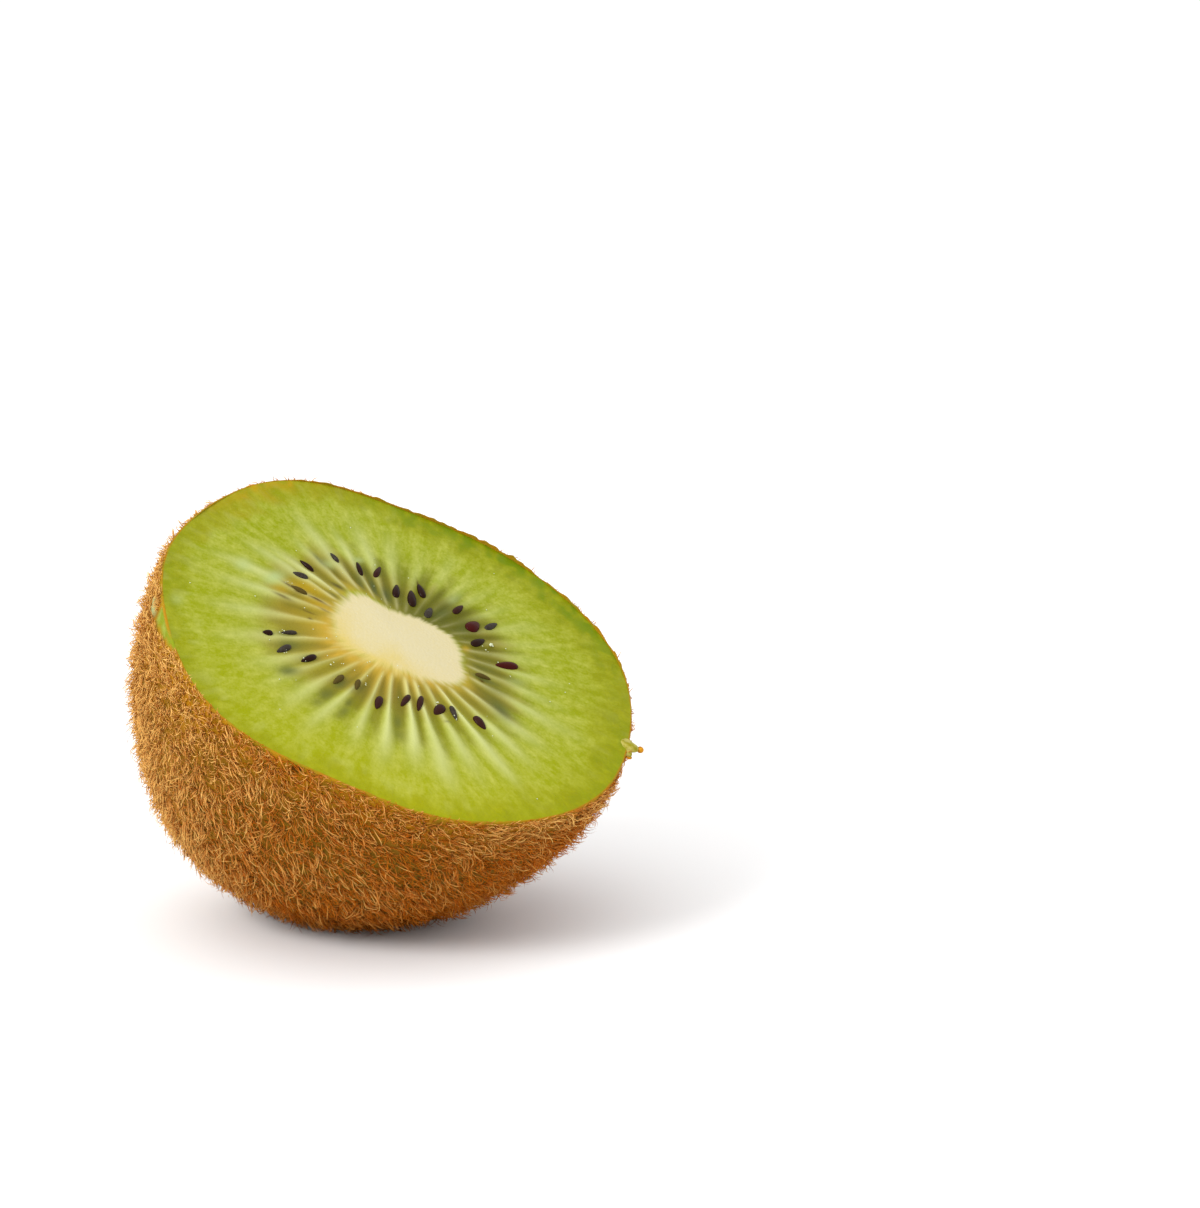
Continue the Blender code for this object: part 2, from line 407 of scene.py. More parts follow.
@dataclass
class RingSurface:
    """A closed surface of rings between two tips.

    It starts as a grid that is wrapped into a ball, with its seam and poles merged; the ball's
    rings are then moved onto the rows of points, its outside still out.
    """

    name: str
    tips: tuple
    rings: list = field(default_factory=list)
    masks: dict = field(default_factory=dict)

    def build(self, form: Form, sharp: float) -> bpy.types.Object:
        """Makes the object.

        Args:
            form: turns the points into the world.
            sharp: angle in degrees above which an edge stays sharp.

        Returns:
            The mesh object, at the origin, with one attribute for each mask.
        """
        rows = np.stack(self.rings)
        count, turns = rows.shape[:2]
        piece = self.ball(count, turns)
        spots = self.read(piece)
        row = np.rint(np.arccos(np.clip(spots[:, 2], -1.0, 1.0)) / math.pi * (count + 1)).astype(int)
        turn = np.rint(np.arctan2(spots[:, 1], spots[:, 0]) / (2.0 * math.pi) * turns).astype(int) % turns
        first, last = (np.broadcast_to(np.array(tip, float), (1, turns, 3)) for tip in self.tips)
        table = form.to_world(np.concatenate([first, rows, last]))
        piece.data.vertices.foreach_set("co", table[row, turn].astype(np.float32).ravel())
        for name, mask in self.masks.items():
            filled = np.concatenate([mask[:1], mask, mask[-1:]])
            write_attribute(piece, name, filled[row, turn])
        piece.data.update()
        bpy.ops.object.shade_smooth_by_angle(angle=math.radians(sharp))
        return piece

    @staticmethod
    def read(piece: bpy.types.Object) -> np.ndarray:
        """The places of a mesh's vertices, one row each."""
        spots = np.empty(len(piece.data.vertices) * 3, np.float32)
        piece.data.vertices.foreach_get("co", spots)
        return spots.reshape(-1, 3).astype(float)

    def ball(self, count: int, turns: int) -> bpy.types.Object:
        """Wraps a grid into a ball of a unit's radius.

        Args:
            count: how many rings it has between its poles.
            turns: how many vertices each ring has.

        Returns:
            The ball, named as the piece.
        """
        deselect_all()
        bpy.ops.mesh.primitive_grid_add(x_subdivisions=turns, y_subdivisions=count + 1, size=1.0,
                                        calc_uvs=False)
        piece = bpy.context.object
        piece.name = self.name
        piece.data.name = self.name
        spots = self.read(piece)
        turn = (spots[:, 0] + 0.5) * 2.0 * math.pi
        down = (0.5 - spots[:, 1]) * math.pi
        flat = np.sin(down)
        spots = np.stack([flat * np.cos(turn), flat * np.sin(turn), np.cos(down)], axis=-1)
        piece.data.vertices.foreach_set("co", spots.astype(np.float32).ravel())
        bpy.ops.object.mode_set(mode="EDIT")
        bpy.ops.mesh.select_all(action="SELECT")
        bpy.ops.mesh.remove_doubles(threshold=1e-5)
        bpy.ops.object.mode_set(mode="OBJECT")
        return piece


@dataclass(frozen=True)
class Mark:
    """A soft mark on the cut: its middle, length, width and turn, in mm and degrees."""

    across: float
    up: float
    length: float
    width: float
    turn: float
    strength: float

    def mask(self, u: np.ndarray, v: np.ndarray) -> np.ndarray:
        """How much of the mark there is at each point of the cut."""
        turn = math.radians(self.turn)
        along = (u - self.across) * math.cos(turn) + (v - self.up) * math.sin(turn)
        side = (v - self.up) * math.cos(turn) - (u - self.across) * math.sin(turn)
        return self.strength * np.exp(-(2.0 * along / self.length) ** 2 - (2.0 * side / self.width) ** 2)


@dataclass(frozen=True)
class Seed:
    """A seed that lies open in the cut: bearing, distance, length, width, turn and look."""

    bearing: float
    distance: float
    length: float
    width: float
    turn: float
    look: SeedLook = SeedLook.DARK


SEEDS = (
    Seed(94, 9.6, 2.3, 1.0, -6),
    Seed(83, 9.3, 2.7, 1.2, 12),
    Seed(79, 11.2, 2.2, 1.0, 30),
    Seed(68, 8.4, 2.0, 1.0, 7, SeedLook.GREY_SHEEN),
    Seed(57, 11.9, 2.1, 0.9, 3, SeedLook.BROWN),
    Seed(44, 11.5, 2.2, 1.7, 16, SeedLook.RED),
    Seed(41, 13.7, 2.1, 0.9, 9, SeedLook.GREY_SHEEN),
    Seed(32, 10.5, 2.2, 1.1, 16),
    Seed(15, 12.7, 2.8, 1.3, 187, SeedLook.RED),
    Seed(1, 9.6, 1.8, 0.6, -3, SeedLook.DIM),
    Seed(-38, 12.0, 2.0, 1.2, -12, SeedLook.BROWN),
    Seed(-48, 9.7, 2.1, 0.7, -20, SeedLook.GREY_SHEEN),
    Seed(-57, 8.9, 2.0, 1.3, -60, SeedLook.BROWN),
    Seed(-70, 7.9, 2.5, 0.8, -27, SeedLook.BROWN),
    Seed(-82, 7.8, 2.3, 0.8, -30, SeedLook.BROWN),
    Seed(259, 9.6, 2.1, 1.0, 1, SeedLook.BROWN),
    Seed(241, 8.8, 1.7, 0.7, 20, SeedLook.DIM),
    Seed(231, 10.1, 2.0, 0.8, 9, SeedLook.DIM),
    Seed(212, 11.5, 2.3, 0.9, 15),
    Seed(205, 13.8, 2.2, 0.9, 25, SeedLook.GREY_SHEEN),
    Seed(196, 15.0, 1.2, 0.9, 0),
    Seed(194, 12.5, 1.9, 0.6, 10, SeedLook.GREY_SHEEN),
    Seed(159, 12.3, 2.0, 0.7, 3, SeedLook.DIM),
    Seed(149, 13.4, 1.8, 0.9, 26, SeedLook.GREY_SHEEN),
    Seed(141, 14.0, 2.0, 0.7, 4),
    Seed(124, 14.1, 1.6, 0.6, 6, SeedLook.GREY_SHEEN),
    Seed(114, 12.3, 2.2, 0.7, -6),
    Seed(104, 12.1, 2.2, 0.8, -29, SeedLook.BROWN),
)


@dataclass
class CutPattern:
    """What shows on the cut, worked out at any of its points."""

    form: Form
    # Bearings of the whitish rays in degrees, read off the fruit one by one.
    rays: tuple = (
        7, 18, 26, 35, 45, 54, 64, 73, 83, 95, 107, 117, 127, 136, 148, 154, 165,
        173, 187, 202, 213, 222, 232, 243, 256, 266, 279, 290, 301, 312, 322, 333, 346, 357,
    )
    ray_start_width: float = 0.20
    ray_end_width: float = 1.0
    ray_height: float = 0.12
    chamber_dip: float = 0.15
    seed_pit: float = 0.16
    # How far inside its own edge the pale core fades into the flesh.
    core_shrink: float = 0.32
    ray_seed: int = 11
    # Cell sizes of the noise: in flow units for fibre, strand and streak, in mm for the rest.
    fibre_cell: float = 0.24
    strand_cell: float = 0.55
    streak_cell: float = 0.30
    blotch_cell: float = 3.2
    cloud_cell: float = 1.5
    speckle_cell: float = 0.8
    # A seed's pit against the seed itself: how much longer and wider.
    pit_length: float = 1.5
    pit_width: float = 1.8
    # Seeds that lie under the surface show as grey-green shadows.
    shadows: tuple = (
        Mark(-11.85, -9.1, 2.6, 1.5, 36, 0.9),
        Mark(-7.5, -10.7, 2.6, 1.3, 58, 0.8),
        Mark(-5.0, -10.8, 1.8, 0.8, 68, 0.7),
        Mark(-5.5, -12.6, 2.4, 1.1, 66, 0.6),
        Mark(-8.4, -12.4, 2.0, 1.2, 55, 0.5),
        Mark(0.4, -11.5, 2.0, 1.0, 92, 0.8),
        Mark(0.6, -13.4, 2.2, 1.3, 90, 0.5),
        Mark(11.6, -4.2, 4.2, 2.2, 130, 0.8),
        Mark(10.8, -1.6, 3.0, 2.0, 160, 0.35),
        Mark(9.6, 1.6, 3.4, 1.6, 10, 0.45),
        Mark(9.8, -0.2, 3.0, 0.9, 175, 0.8),
        Mark(-11.9, -4.9, 3.2, 1.6, 28, 0.7),
        Mark(-12.3, -3.4, 3.0, 1.0, 22, 0.6),
        Mark(-9.6, -6.1, 3.2, 1.4, 38, 0.5),
        Mark(-6.2, -8.4, 2.6, 1.2, 55, 0.6),
        Mark(-4.2, -8.2, 2.4, 1.1, 62, 0.6),
        Mark(-7.3, 7.1, 1.7, 0.7, -28, 0.8),
        Mark(-7.6, 5.3, 2.0, 0.6, -28, 0.6),
        Mark(-9.6, 10.4, 2.4, 0.7, -48, 0.6),
        Mark(7.6, 7.4, 3.0, 1.4, 50, 0.5),
        Mark(4.6, 8.4, 2.6, 1.4, 62, 0.6),
        Mark(-1.8, 8.2, 2.6, 1.4, 100, 0.6),
        Mark(-3.3, 9.2, 3.0, 0.8, 105, 0.7),
        Mark(-4.8, 9.4, 3.0, 0.8, 110, 0.6),
    )
    # Thin brown lines and specks.
    stains: tuple = (
        Mark(-11.5, 4.3, 1.0, 0.8, 0, 1.0),
        Mark(-12.6, 4.6, 1.6, 0.5, -12, 0.8),
        Mark(-9.5, 3.75, 2.4, 0.35, -16, 0.9),
        Mark(-13.3, 2.35, 2.2, 0.45, -8, 0.7),
        Mark(-10.2, 1.4, 1.6, 0.3, -6, 0.5),
        Mark(-10.0, 0.3, 0.5, 0.5, 0, 0.7),
        Mark(9.5, -0.6, 0.5, 0.4, 0, 0.9),
        Mark(5.8, -9.0, 0.9, 0.3, 25, 0.5),
        Mark(1.75, 12.0, 1.3, 0.3, 105, 0.9),
        Mark(-7.3, 7.1, 1.5, 0.4, -28, 0.5),
        Mark(-8.6, 2.4, 1.3, 0.3, -14, 0.5),
        Mark(-6.6, 5.6, 1.2, 0.25, -30, 0.4),
    )
    # A yellow-olive patch, and the orange flecks by the core.
    ochres: tuple = (
        Mark(-11.0, 5.2, 4.6, 2.2, -5, 0.75),
        Mark(-13.6, 3.6, 2.4, 1.6, 0, 0.5),
        Mark(-9.4, 3.0, 3.6, 2.2, -8, 0.45),
        Mark(7.5, 3.7, 1.2, 0.8, 60, 0.8),
        Mark(7.7, -1.2, 1.6, 1.0, 80, 0.4),
        Mark(-11.6, 0.4, 3.6, 2.2, 0, 0.30),
    )
    # Pale, glassy flesh.
    glassy: tuple = (
        Mark(-14.2, 5.2, 3.4, 1.5, 55, 0.9),
        Mark(-17.8, 5.6, 2.2, 1.6, 70, 0.6),
        Mark(6.0, 11.6, 2.6, 0.9, 58, 0.5),
        Mark(-5.2, 12.7, 1.3, 0.8, 30, 0.6),
        Mark(-8.6, 10.3, 2.0, 1.4, 20, 0.5),
        Mark(13.4, 1.2, 2.4, 1.2, 20, 0.35),
        Mark(-24.6, -3.8, 1.6, 1.4, 60, 0.7),
    )

    def flow(self, bearing: np.ndarray, out: np.ndarray) -> np.ndarray:
        """Coordinates in which noise becomes fibres that run from the core to the rim.

        Args:
            bearing: bearings in degrees.
            out: distance from the core's edge in mm.

        Returns:
            Rows of three numbers.
        """
        turn = np.radians(bearing)
        ring = 9.0
        stretch = 0.16
        return np.stack([ring * np.cos(turn), ring * np.sin(turn), out * stretch], axis=-1)

    def ray_mask(self, bearing: np.ndarray, radius: np.ndarray) -> tuple[np.ndarray, np.ndarray]:
        """The rays and the spaces between them.

        Args:
            bearing: bearings in degrees.
            radius: distance from the middle in mm.

        Returns:
            How much ray there is, and how far into the space between two rays a point lies.
        """
        draw = np.random.default_rng(self.ray_seed)
        rays = np.zeros_like(radius)
        nearest = np.full_like(radius, 1e3)
        width = self.ray_start_width + (self.ray_end_width - self.ray_start_width) * step(8.5, 18.0, radius)
        for crest in self.rays:
            strong = (0.30 + 0.62 * around(np.array(crest), 268.0, 70.0)
                      + 0.55 * around(np.array(crest), 142.0, 42.0)
                      + 0.25 * around(np.array(crest), 330.0, 35.0))
            strong = strong * draw.uniform(0.75, 1.1)
            reach = draw.uniform(17.0, 21.5)
            bend = draw.uniform(-1.6, 1.6)
            phase = draw.uniform(0.0, 6.0)
            thick = draw.uniform(0.75, 1.25)
            middle = crest + bend * np.sin(radius / 5.0 + phase)
            off = np.radians((bearing - middle + 180.0) % 360.0 - 180.0) * radius
            line = np.exp(-np.abs(off / (width * thick)) ** 1.6)
            rays = np.maximum(rays, strong * line * (1.0 - step(reach - 6.0, reach + 3.0, radius)))
            nearest = np.minimum(nearest, np.abs(off))
        half_gap = math.pi / len(self.rays) * radius
        return rays, step(0.25, 0.85, nearest / half_gap)

    def marked(self, u: np.ndarray, v: np.ndarray) -> dict:
        """How much of each group of marks there is at each point, by the group's name."""
        groups = {"shadow": self.shadows, "stain": self.stains, "ochre": self.ochres, "glassy": self.glassy}
        marks = {}
        for name, group in groups.items():
            total = np.zeros(u.shape)
            for mark in group:
                total = np.maximum(total, mark.mask(u, v))
            marks[name] = total
        return marks

    def pits(self, u: np.ndarray, v: np.ndarray) -> np.ndarray:
        """How far each point lies in the pit round a seed, from 0 to 1."""
        pit = np.zeros(u.shape)
        for seed in SEEDS:
            turn = math.radians(seed.bearing)
            hole = Mark(seed.distance * math.cos(turn), seed.distance * math.sin(turn),
                        seed.length * self.pit_length, seed.width * self.pit_width,
                        seed.bearing + seed.turn, 1.0)
            pit = np.maximum(pit, hole.mask(u, v))
        return pit

    def masks(self, bearing: np.ndarray, out: np.ndarray, points: np.ndarray) -> dict:
        """All masks of the flesh round the core.

        Args:
            bearing: bearings in degrees.
            out: distance from the core's edge in mm.
            points: points of the cut in mm.

        Returns:
            The attributes by name, with rows of three numbers each, and the relief in mm.
        """
        shape = bearing.shape
        u, v = points[..., 0], points[..., 1]
        radius = np.hypot(u, v)
        to_rim = self.form.rim(bearing) - radius
        flow = self.flow(bearing, out).reshape(-1, 3)
        flat = points.reshape(-1, 3)
        fibre = noise(flow, self.fibre_cell, 1).reshape(shape)
        strand = noise(flow, self.strand_cell, 2).reshape(shape)
        blotch = noise(flat, self.blotch_cell, 3).reshape(shape)
        cloud = noise(flat, self.cloud_cell, 4).reshape(shape)
        speckle = noise(flat, self.speckle_cell, 5).reshape(shape)
        rays, between = self.ray_mask(bearing, radius)
        rays = rays * step(-0.6, 1.2, out) * (0.65 + 0.6 * strand)
        lower = around(bearing, 262.0, 62.0)
        left = around(bearing, 207.0, 36.0)
        corner = around(bearing, 140.0, 30.0)
        top_right = around(bearing, 58.0, 58.0)
        dark = (0.55 + 0.30 * lower + 0.30 * top_right + 0.25 * around(bearing, 120.0, 25.0))
        chamber = between * step(0.1, 1.6, out) * (1.0 - step(11.0, 17.0, radius + 3.0 * (cloud - 0.5)))
        chamber = chamber * dark * (0.55 + 0.6 * blotch)
        dusk = top_right * step(-1.0, 0.2, out) * (1.0 - step(10.5, 15.0, radius + 2.0 * (blotch - 0.5)))
        dusk = dusk * (1.0 - 0.75 * around(bearing, 96.0, 26.0) * step(8.0, 10.5, radius))
        warm = 0.9 * left + 0.9 * lower + 0.40 * corner + 0.25 * around(bearing, 320.0, 30.0)
        amber = warm * np.exp(-np.maximum(out, 0.0) / (1.5 + 0.6 * left + 0.8 * lower)) * (0.4 + 1.2 * strand)
        amber = np.clip(amber, 0.0, 1.0) * (1.0 - 0.6 * rays) * step(-1.2, 0.4, out)
        spread = 3.0 + 2.6 * left + 1.6 * corner + 1.0 * lower
        umber = step(-0.6, 0.6, out) * (1.0 - step(spread, spread + 4.0, out + 3.0 * (strand - 0.5)))
        umber = umber * (0.65 + 0.55 * blotch)
        bleed = 0.7 + 0.7 * left + 0.8 * lower + 0.25 * corner
        shrink = self.core_shrink + 0.25 * around(bearing, 0.0, 35.0) + 0.75 * around(bearing, 132.0, 25.0)
        cream = 1.0 - step(-0.5 * bleed, 0.9 * bleed,
                           out + shrink + 1.3 * bleed * (0.45 * fibre + 0.55 * strand - 0.5))
        cream = np.maximum(cream, 0.7 * rays * np.exp(-np.maximum(out - 0.4, 0.0) / 2.0))
        band = 2.4 + 4.0 * around(bearing, 20.0, 60.0) + 1.4 * (blotch - 0.5)
        rim = 1.0 - step(0.6, band + 1.8, to_rim - 2.2 * (cloud - 0.5))
        rim = rim * (1.0 - 0.35 * around(bearing, 205.0, 40.0))
        deep = 1.0 - step(0.3, 4.2, to_rim - 2.4 * (cloud - 0.5))
        deep = deep * (0.25 + 0.75 * around(bearing, 55.0, 55.0))
        deep = deep * (0.35 + 0.9 * step(0.25, 0.7, speckle))
        streak = step(0.52, 0.85, noise(flow, self.streak_cell, 6).reshape(shape)) * (0.3 + 0.9 * cloud)
        streak = streak * step(10.5, 14.0, radius) * (1.0 - step(0.8, 5.0, to_rim))
        ripe = around(bearing, 272.0, 66.0) * (0.13 + 0.12 * step(14.0, 21.0, radius))
        ripe = ripe * step(9.0, 12.0, radius)
        marks = self.marked(u, v)
        upper_left = around(bearing, 130.0, 30.0) + 0.6 * around(bearing, 10.0, 18.0)
        golden = 1.0 - step(0.2, 4.0, to_rim + 2.4 * (0.5 - cloud))
        golden = golden * upper_left * (0.5 + 0.7 * speckle)
        marks["ochre"] = np.maximum(marks["ochre"], 0.9 * golden)
        rim = rim * (1.0 - 0.8 * golden)
        deep = deep * (1.0 - 0.8 * golden)
        ruffle = 0.75 + 0.5 * cloud
        pit = self.pits(u, v)
        relief = (self.ray_height * (2.0 * rays - 0.7) * step(0.3, 2.5, out)
                  * (1.0 - step(15.0, 21.0, radius))
                  - self.chamber_dip * chamber * step(0.3, 2.0, out)
                  + 0.05 * (cloud - 0.5) * step(0.3, 1.5, out) * step(0.0, 1.0, to_rim))
        relief = relief * (1.0 - pit) - self.seed_pit * pit
        return {
            "lines": np.stack([np.maximum(rays, 0.45 * streak), chamber, amber], axis=-1),
            "cells": np.stack([deep, ripe, np.zeros(shape)], axis=-1),
            "zones": np.stack([rim, cream, dusk], axis=-1),
            "marks": np.stack([marks["shadow"] * ruffle, marks["stain"], marks["ochre"] * ruffle], axis=-1),
            "extras": np.stack([marks["glassy"] * ruffle, umber, self.core_warmth(bearing, out, cloud)],
                               axis=-1),
            "flow": self.flow(bearing, out),
            "relief": relief,
        }

    def core_warmth(self, bearing: np.ndarray, out: np.ndarray, cloud: np.ndarray) -> np.ndarray:
        """How yellow the pale core is.

        Args:
            bearing: bearings in degrees.
            out: distance from the core's edge in mm, below 0 inside it.
            cloud: soft noise that breaks the yellow up.

        Returns:
            Numbers from 0 to 1.
        """
        edge = 0.10 + 0.75 * around(bearing, 205.0, 45.0) + 0.8 * around(bearing, 262.0, 45.0)
        inside = np.maximum(-out, 0.0)
        mottle = 1.0 + (cloud - 0.5) * step(0.0, 1.0, inside)
        return np.clip(edge * np.exp(-inside / 2.4) * mottle, 0.0, 1.0)


@dataclass(frozen=True)
class CutFinish:
    """Moist cut kiwi flesh: watery cells under a thin film of juice.

    Water-filled cells bend light like water, hence an IOR near 1.36 and a soft satin gloss; the
    pale rays are denser fibre, and the grain is the cells themselves, about half a millimetre.
    """

    name: str
    pale: str = "A6AA48"
    green: str = "848E00"
    ray: str = "BCC282"
    umber: str = "887C26"
    chamber: str = "54540E"
    dusk: str = "585A12"
    amber: str = "B29230"
    rim: str = "7E8000"
    rim_light: str = "929604"
    deep: str = "677A04"
    ripe: str = "B2AC00"
    cream: str = "C9C09F"
    core_yellow: str = "C8B468"
    shadow: str = "47512A"
    stain: str = "43290A"
    ochre: str = "AA8A05"
    glassy: str = "A3B272"
    roughness: float = 0.42
    ior: float = 1.37
    # The film of juice is patchy and the light even, so the flesh mirrors less than water would.
    shine: float = 0.1
    grain: float = 1.0
    fine_grain: float = 0.3
    fibre_scale: float = 2.2
    # What fibres and fine grain add to the grain's tone, and the span in which it turns pale.
    fibre_weight: float = 1.5
    fine_weight: float = 0.6
    tone_span: tuple = (1.33, 2.05)
    # How far the film of juice moves the roughness up and down.
    film_swing: float = 0.08
    bump: float = 0.05
    bump_strength: float = 0.8

    def build(self) -> bpy.types.Material:
        """Makes the material from the masks of the cut."""
        made, tree, shader = new_material(self.name)
        place = add_node(tree, "ShaderNodeTexCoord").outputs["Object"]
        flow = add_node(tree, "ShaderNodeAttribute", {"attribute_name": "flow"}).outputs["Color"]
        masks = {}
        for name, parts in (
            ("lines", ("ray", "chamber", "amber")),
            ("zones", ("rim", "cream", "dusk")),
            ("marks", ("shadow", "stain", "ochre")),
            ("extras", ("glassy", "umber", "warmth")),
            ("cells", ("deep", "ripe")),
        ):
            read = add_node(tree, "ShaderNodeAttribute", {"attribute_name": name})
            split = add_node(tree, "ShaderNodeSeparateColor", None, {"Color": read.outputs["Color"]})
            masks.update(zip(parts, split.outputs))
        grain = add_node(tree, "ShaderNodeTexNoise", None,
                         {"Vector": place, "Scale": 1.0 / (self.grain * MM), "Detail": 3.0, "Roughness": 0.6})
        fine = add_node(tree, "ShaderNodeTexNoise", None,
                        {"Vector": place, "Scale": 1.0 / (self.fine_grain * MM), "Detail": 2.0})
        fibre = add_node(tree, "ShaderNodeTexNoise", None,
                         {"Vector": flow, "Scale": self.fibre_scale, "Detail": 4.0, "Roughness": 0.65})
        tone = add_node(tree, "ShaderNodeMath", {"operation": "MULTIPLY_ADD"},
                        {0: fibre.outputs["Fac"], 1: self.fibre_weight, 2: grain.outputs["Fac"]})
        tone = add_node(tree, "ShaderNodeMath", {"operation": "MULTIPLY_ADD"},
                        {0: fine.outputs["Fac"], 1: self.fine_weight, 2: tone.outputs[0]})
        tone = add_node(tree, "ShaderNodeMapRange", None,
                        {"Value": tone.outputs[0], "From Min": self.tone_span[0],
                         "From Max": self.tone_span[1]})
        flesh = mix_layers(tree, linear(self.green), [(tone.outputs[0], linear(self.pale))])
        edge = mix_layers(tree, linear(self.rim), [(tone.outputs[0], linear(self.rim_light))])
        yellow = add_node(tree, "ShaderNodeMath", {"operation": "MULTIPLY_ADD"},
                          {0: fine.outputs["Fac"], 1: 0.4, 2: masks["warmth"]})
        pith = mix_layers(tree, linear(self.cream), [(yellow.outputs[0], linear(self.core_yellow))])
        colour = mix_layers(tree, flesh, [
            (masks["umber"], linear(self.umber)),
            (masks["ray"], linear(self.ray)),
            (masks["dusk"], linear(self.dusk)),
            (masks["chamber"], linear(self.chamber)),
            (masks["ochre"], linear(self.ochre)),
            (masks["amber"], linear(self.amber)),
            (masks["glassy"], linear(self.glassy)),
            (masks["shadow"], linear(self.shadow)),
            (masks["rim"], edge),
            (masks["deep"], linear(self.deep)),
            (masks["ripe"], linear(self.ripe)),
            (masks["cream"], pith),
            (masks["stain"], linear(self.stain)),
        ])
        film = add_node(tree, "ShaderNodeMapRange", None,
                        {"Value": grain.outputs["Fac"], "From Min": 0.35, "From Max": 0.65,
                         "To Min": self.roughness - self.film_swing,
                         "To Max": self.roughness + self.film_swing})
        rough = add_node(tree, "ShaderNodeBump", None,
                         {"Height": fine.outputs["Fac"], "Distance": self.bump * MM,
                          "Strength": self.bump_strength})
        tree.links.new(colour, shader.inputs["Base Color"])
        tree.links.new(film.outputs[0], shader.inputs["Roughness"])
        tree.links.new(rough.outputs["Normal"], shader.inputs["Normal"])
        shader.inputs["IOR"].default_value = self.ior
        shader.inputs["Specular IOR Level"].default_value = self.shine
        return made


@dataclass
class Flesh:
    """The green flesh: the cut with its relief, the wall under the skin and the core's pocket."""

    form: Form
    pattern: CutPattern
    finish: CutFinish = CutFinish("moist_kiwi_flesh")
    bearings: int = 640
    reaches: int = 112
    pocket_rings: int = 7
    side_rings: int = 14
    inset: float = 0.2
    sharp: float = 45.0

    def build(self) -> bpy.types.Object:
        """Makes the flesh, which stands for the solid fruit."""
        bearing = np.arange(self.bearings) * 360.0 / self.bearings
        mouth = self.form.core_point(bearing, np.zeros_like(bearing), self.form.fit_gap)
        edge = self.form.skin_point(bearing, np.zeros_like(bearing), self.inset)
        reach = np.linspace(0.0, 1.0, self.reaches + 1)[:, None]
        face = mouth[None] + (edge - mouth)[None] * reach[..., None]
        out = self.form.fit_gap + np.linalg.norm(edge - mouth, axis=-1)[None] * reach
        turns = np.broadcast_to(bearing[None], out.shape)
        masks = self.pattern.masks(turns, out, face)
        to_rim = self.form.rim(turns) - np.hypot(face[..., 0], face[..., 1])
        face[..., 2] = masks.pop("relief") * step(0.0, 0.3, to_rim)
        pocket = [self.form.core_point(bearing, np.full_like(bearing, share), self.form.fit_gap)
                  for share in reversed(eased(self.pocket_rings))]
        side = [self.form.skin_point(bearing, np.full_like(bearing, share), self.inset)
                for share in eased(self.side_rings)]
        tip = (*self.form.core_centre, -self.form.core_length - self.form.fit_gap)
        end = (*self.form.end_drift, -self.form.half_length + self.inset)
        surface = RingSurface("flesh", (tip, end), pocket + list(face) + side)
        for name, mask in masks.items():
            before = np.repeat(mask[:1], self.pocket_rings, axis=0)
            after = np.repeat(mask[-1:], self.side_rings, axis=0)
            surface.masks[name] = np.concatenate([before, mask, after])
        piece = surface.build(self.form, self.sharp)
        hand_over(piece, "fruit", self.finish.build())
        return piece


@dataclass
class Core:
    """The pale core: a shallow dome that meets the flesh, on a spindle inside the fruit."""

    form: Form
    pattern: CutPattern
    finish: CutFinish = CutFinish("pale_kiwi_core")
    bearings: int = 640
    dome_rings: int = 40
    spindle_rings: int = 8
    dome: float = 0.25
    sharp: float = 45.0

    def build(self) -> bpy.types.Object:
        """Makes the core, which stands for the solid core."""
        bearing = np.arange(self.bearings) * 360.0 / self.bearings
        edge = self.form.core_point(bearing, np.zeros_like(bearing), self.form.fit_gap)
        centre = np.array([*self.form.core_centre, 0.0])
        share = np.linspace(0.0, 1.0, self.dome_rings + 1)[1:, None]
        cap = centre + (edge - centre)[None] * share[..., None]
        cap[..., 2] = self.dome * (1.0 - share ** 2) ** 2
        turns = np.broadcast_to(bearing[None], cap.shape[:2])
        out = self.form.fit_gap - (1.0 - share) * np.linalg.norm(edge - centre, axis=-1)[None]
        masks = self.pattern.masks(turns, out, cap)
        masks.pop("relief")
        spindle = [self.form.core_point(bearing, np.full_like(bearing, down), 0.0)
                   for down in eased(self.spindle_rings)]
        tips = ((*self.form.core_centre, self.dome), (*self.form.core_centre, -self.form.core_length))
        surface = RingSurface("pale_core", tips, list(cap) + spindle)
        for name, mask in masks.items():
            surface.masks[name] = np.concatenate([mask, np.repeat(mask[-1:], self.spindle_rings, axis=0)])
        piece = surface.build(self.form, self.sharp)
        hand_over(piece, "core", self.finish.build())
        return piece


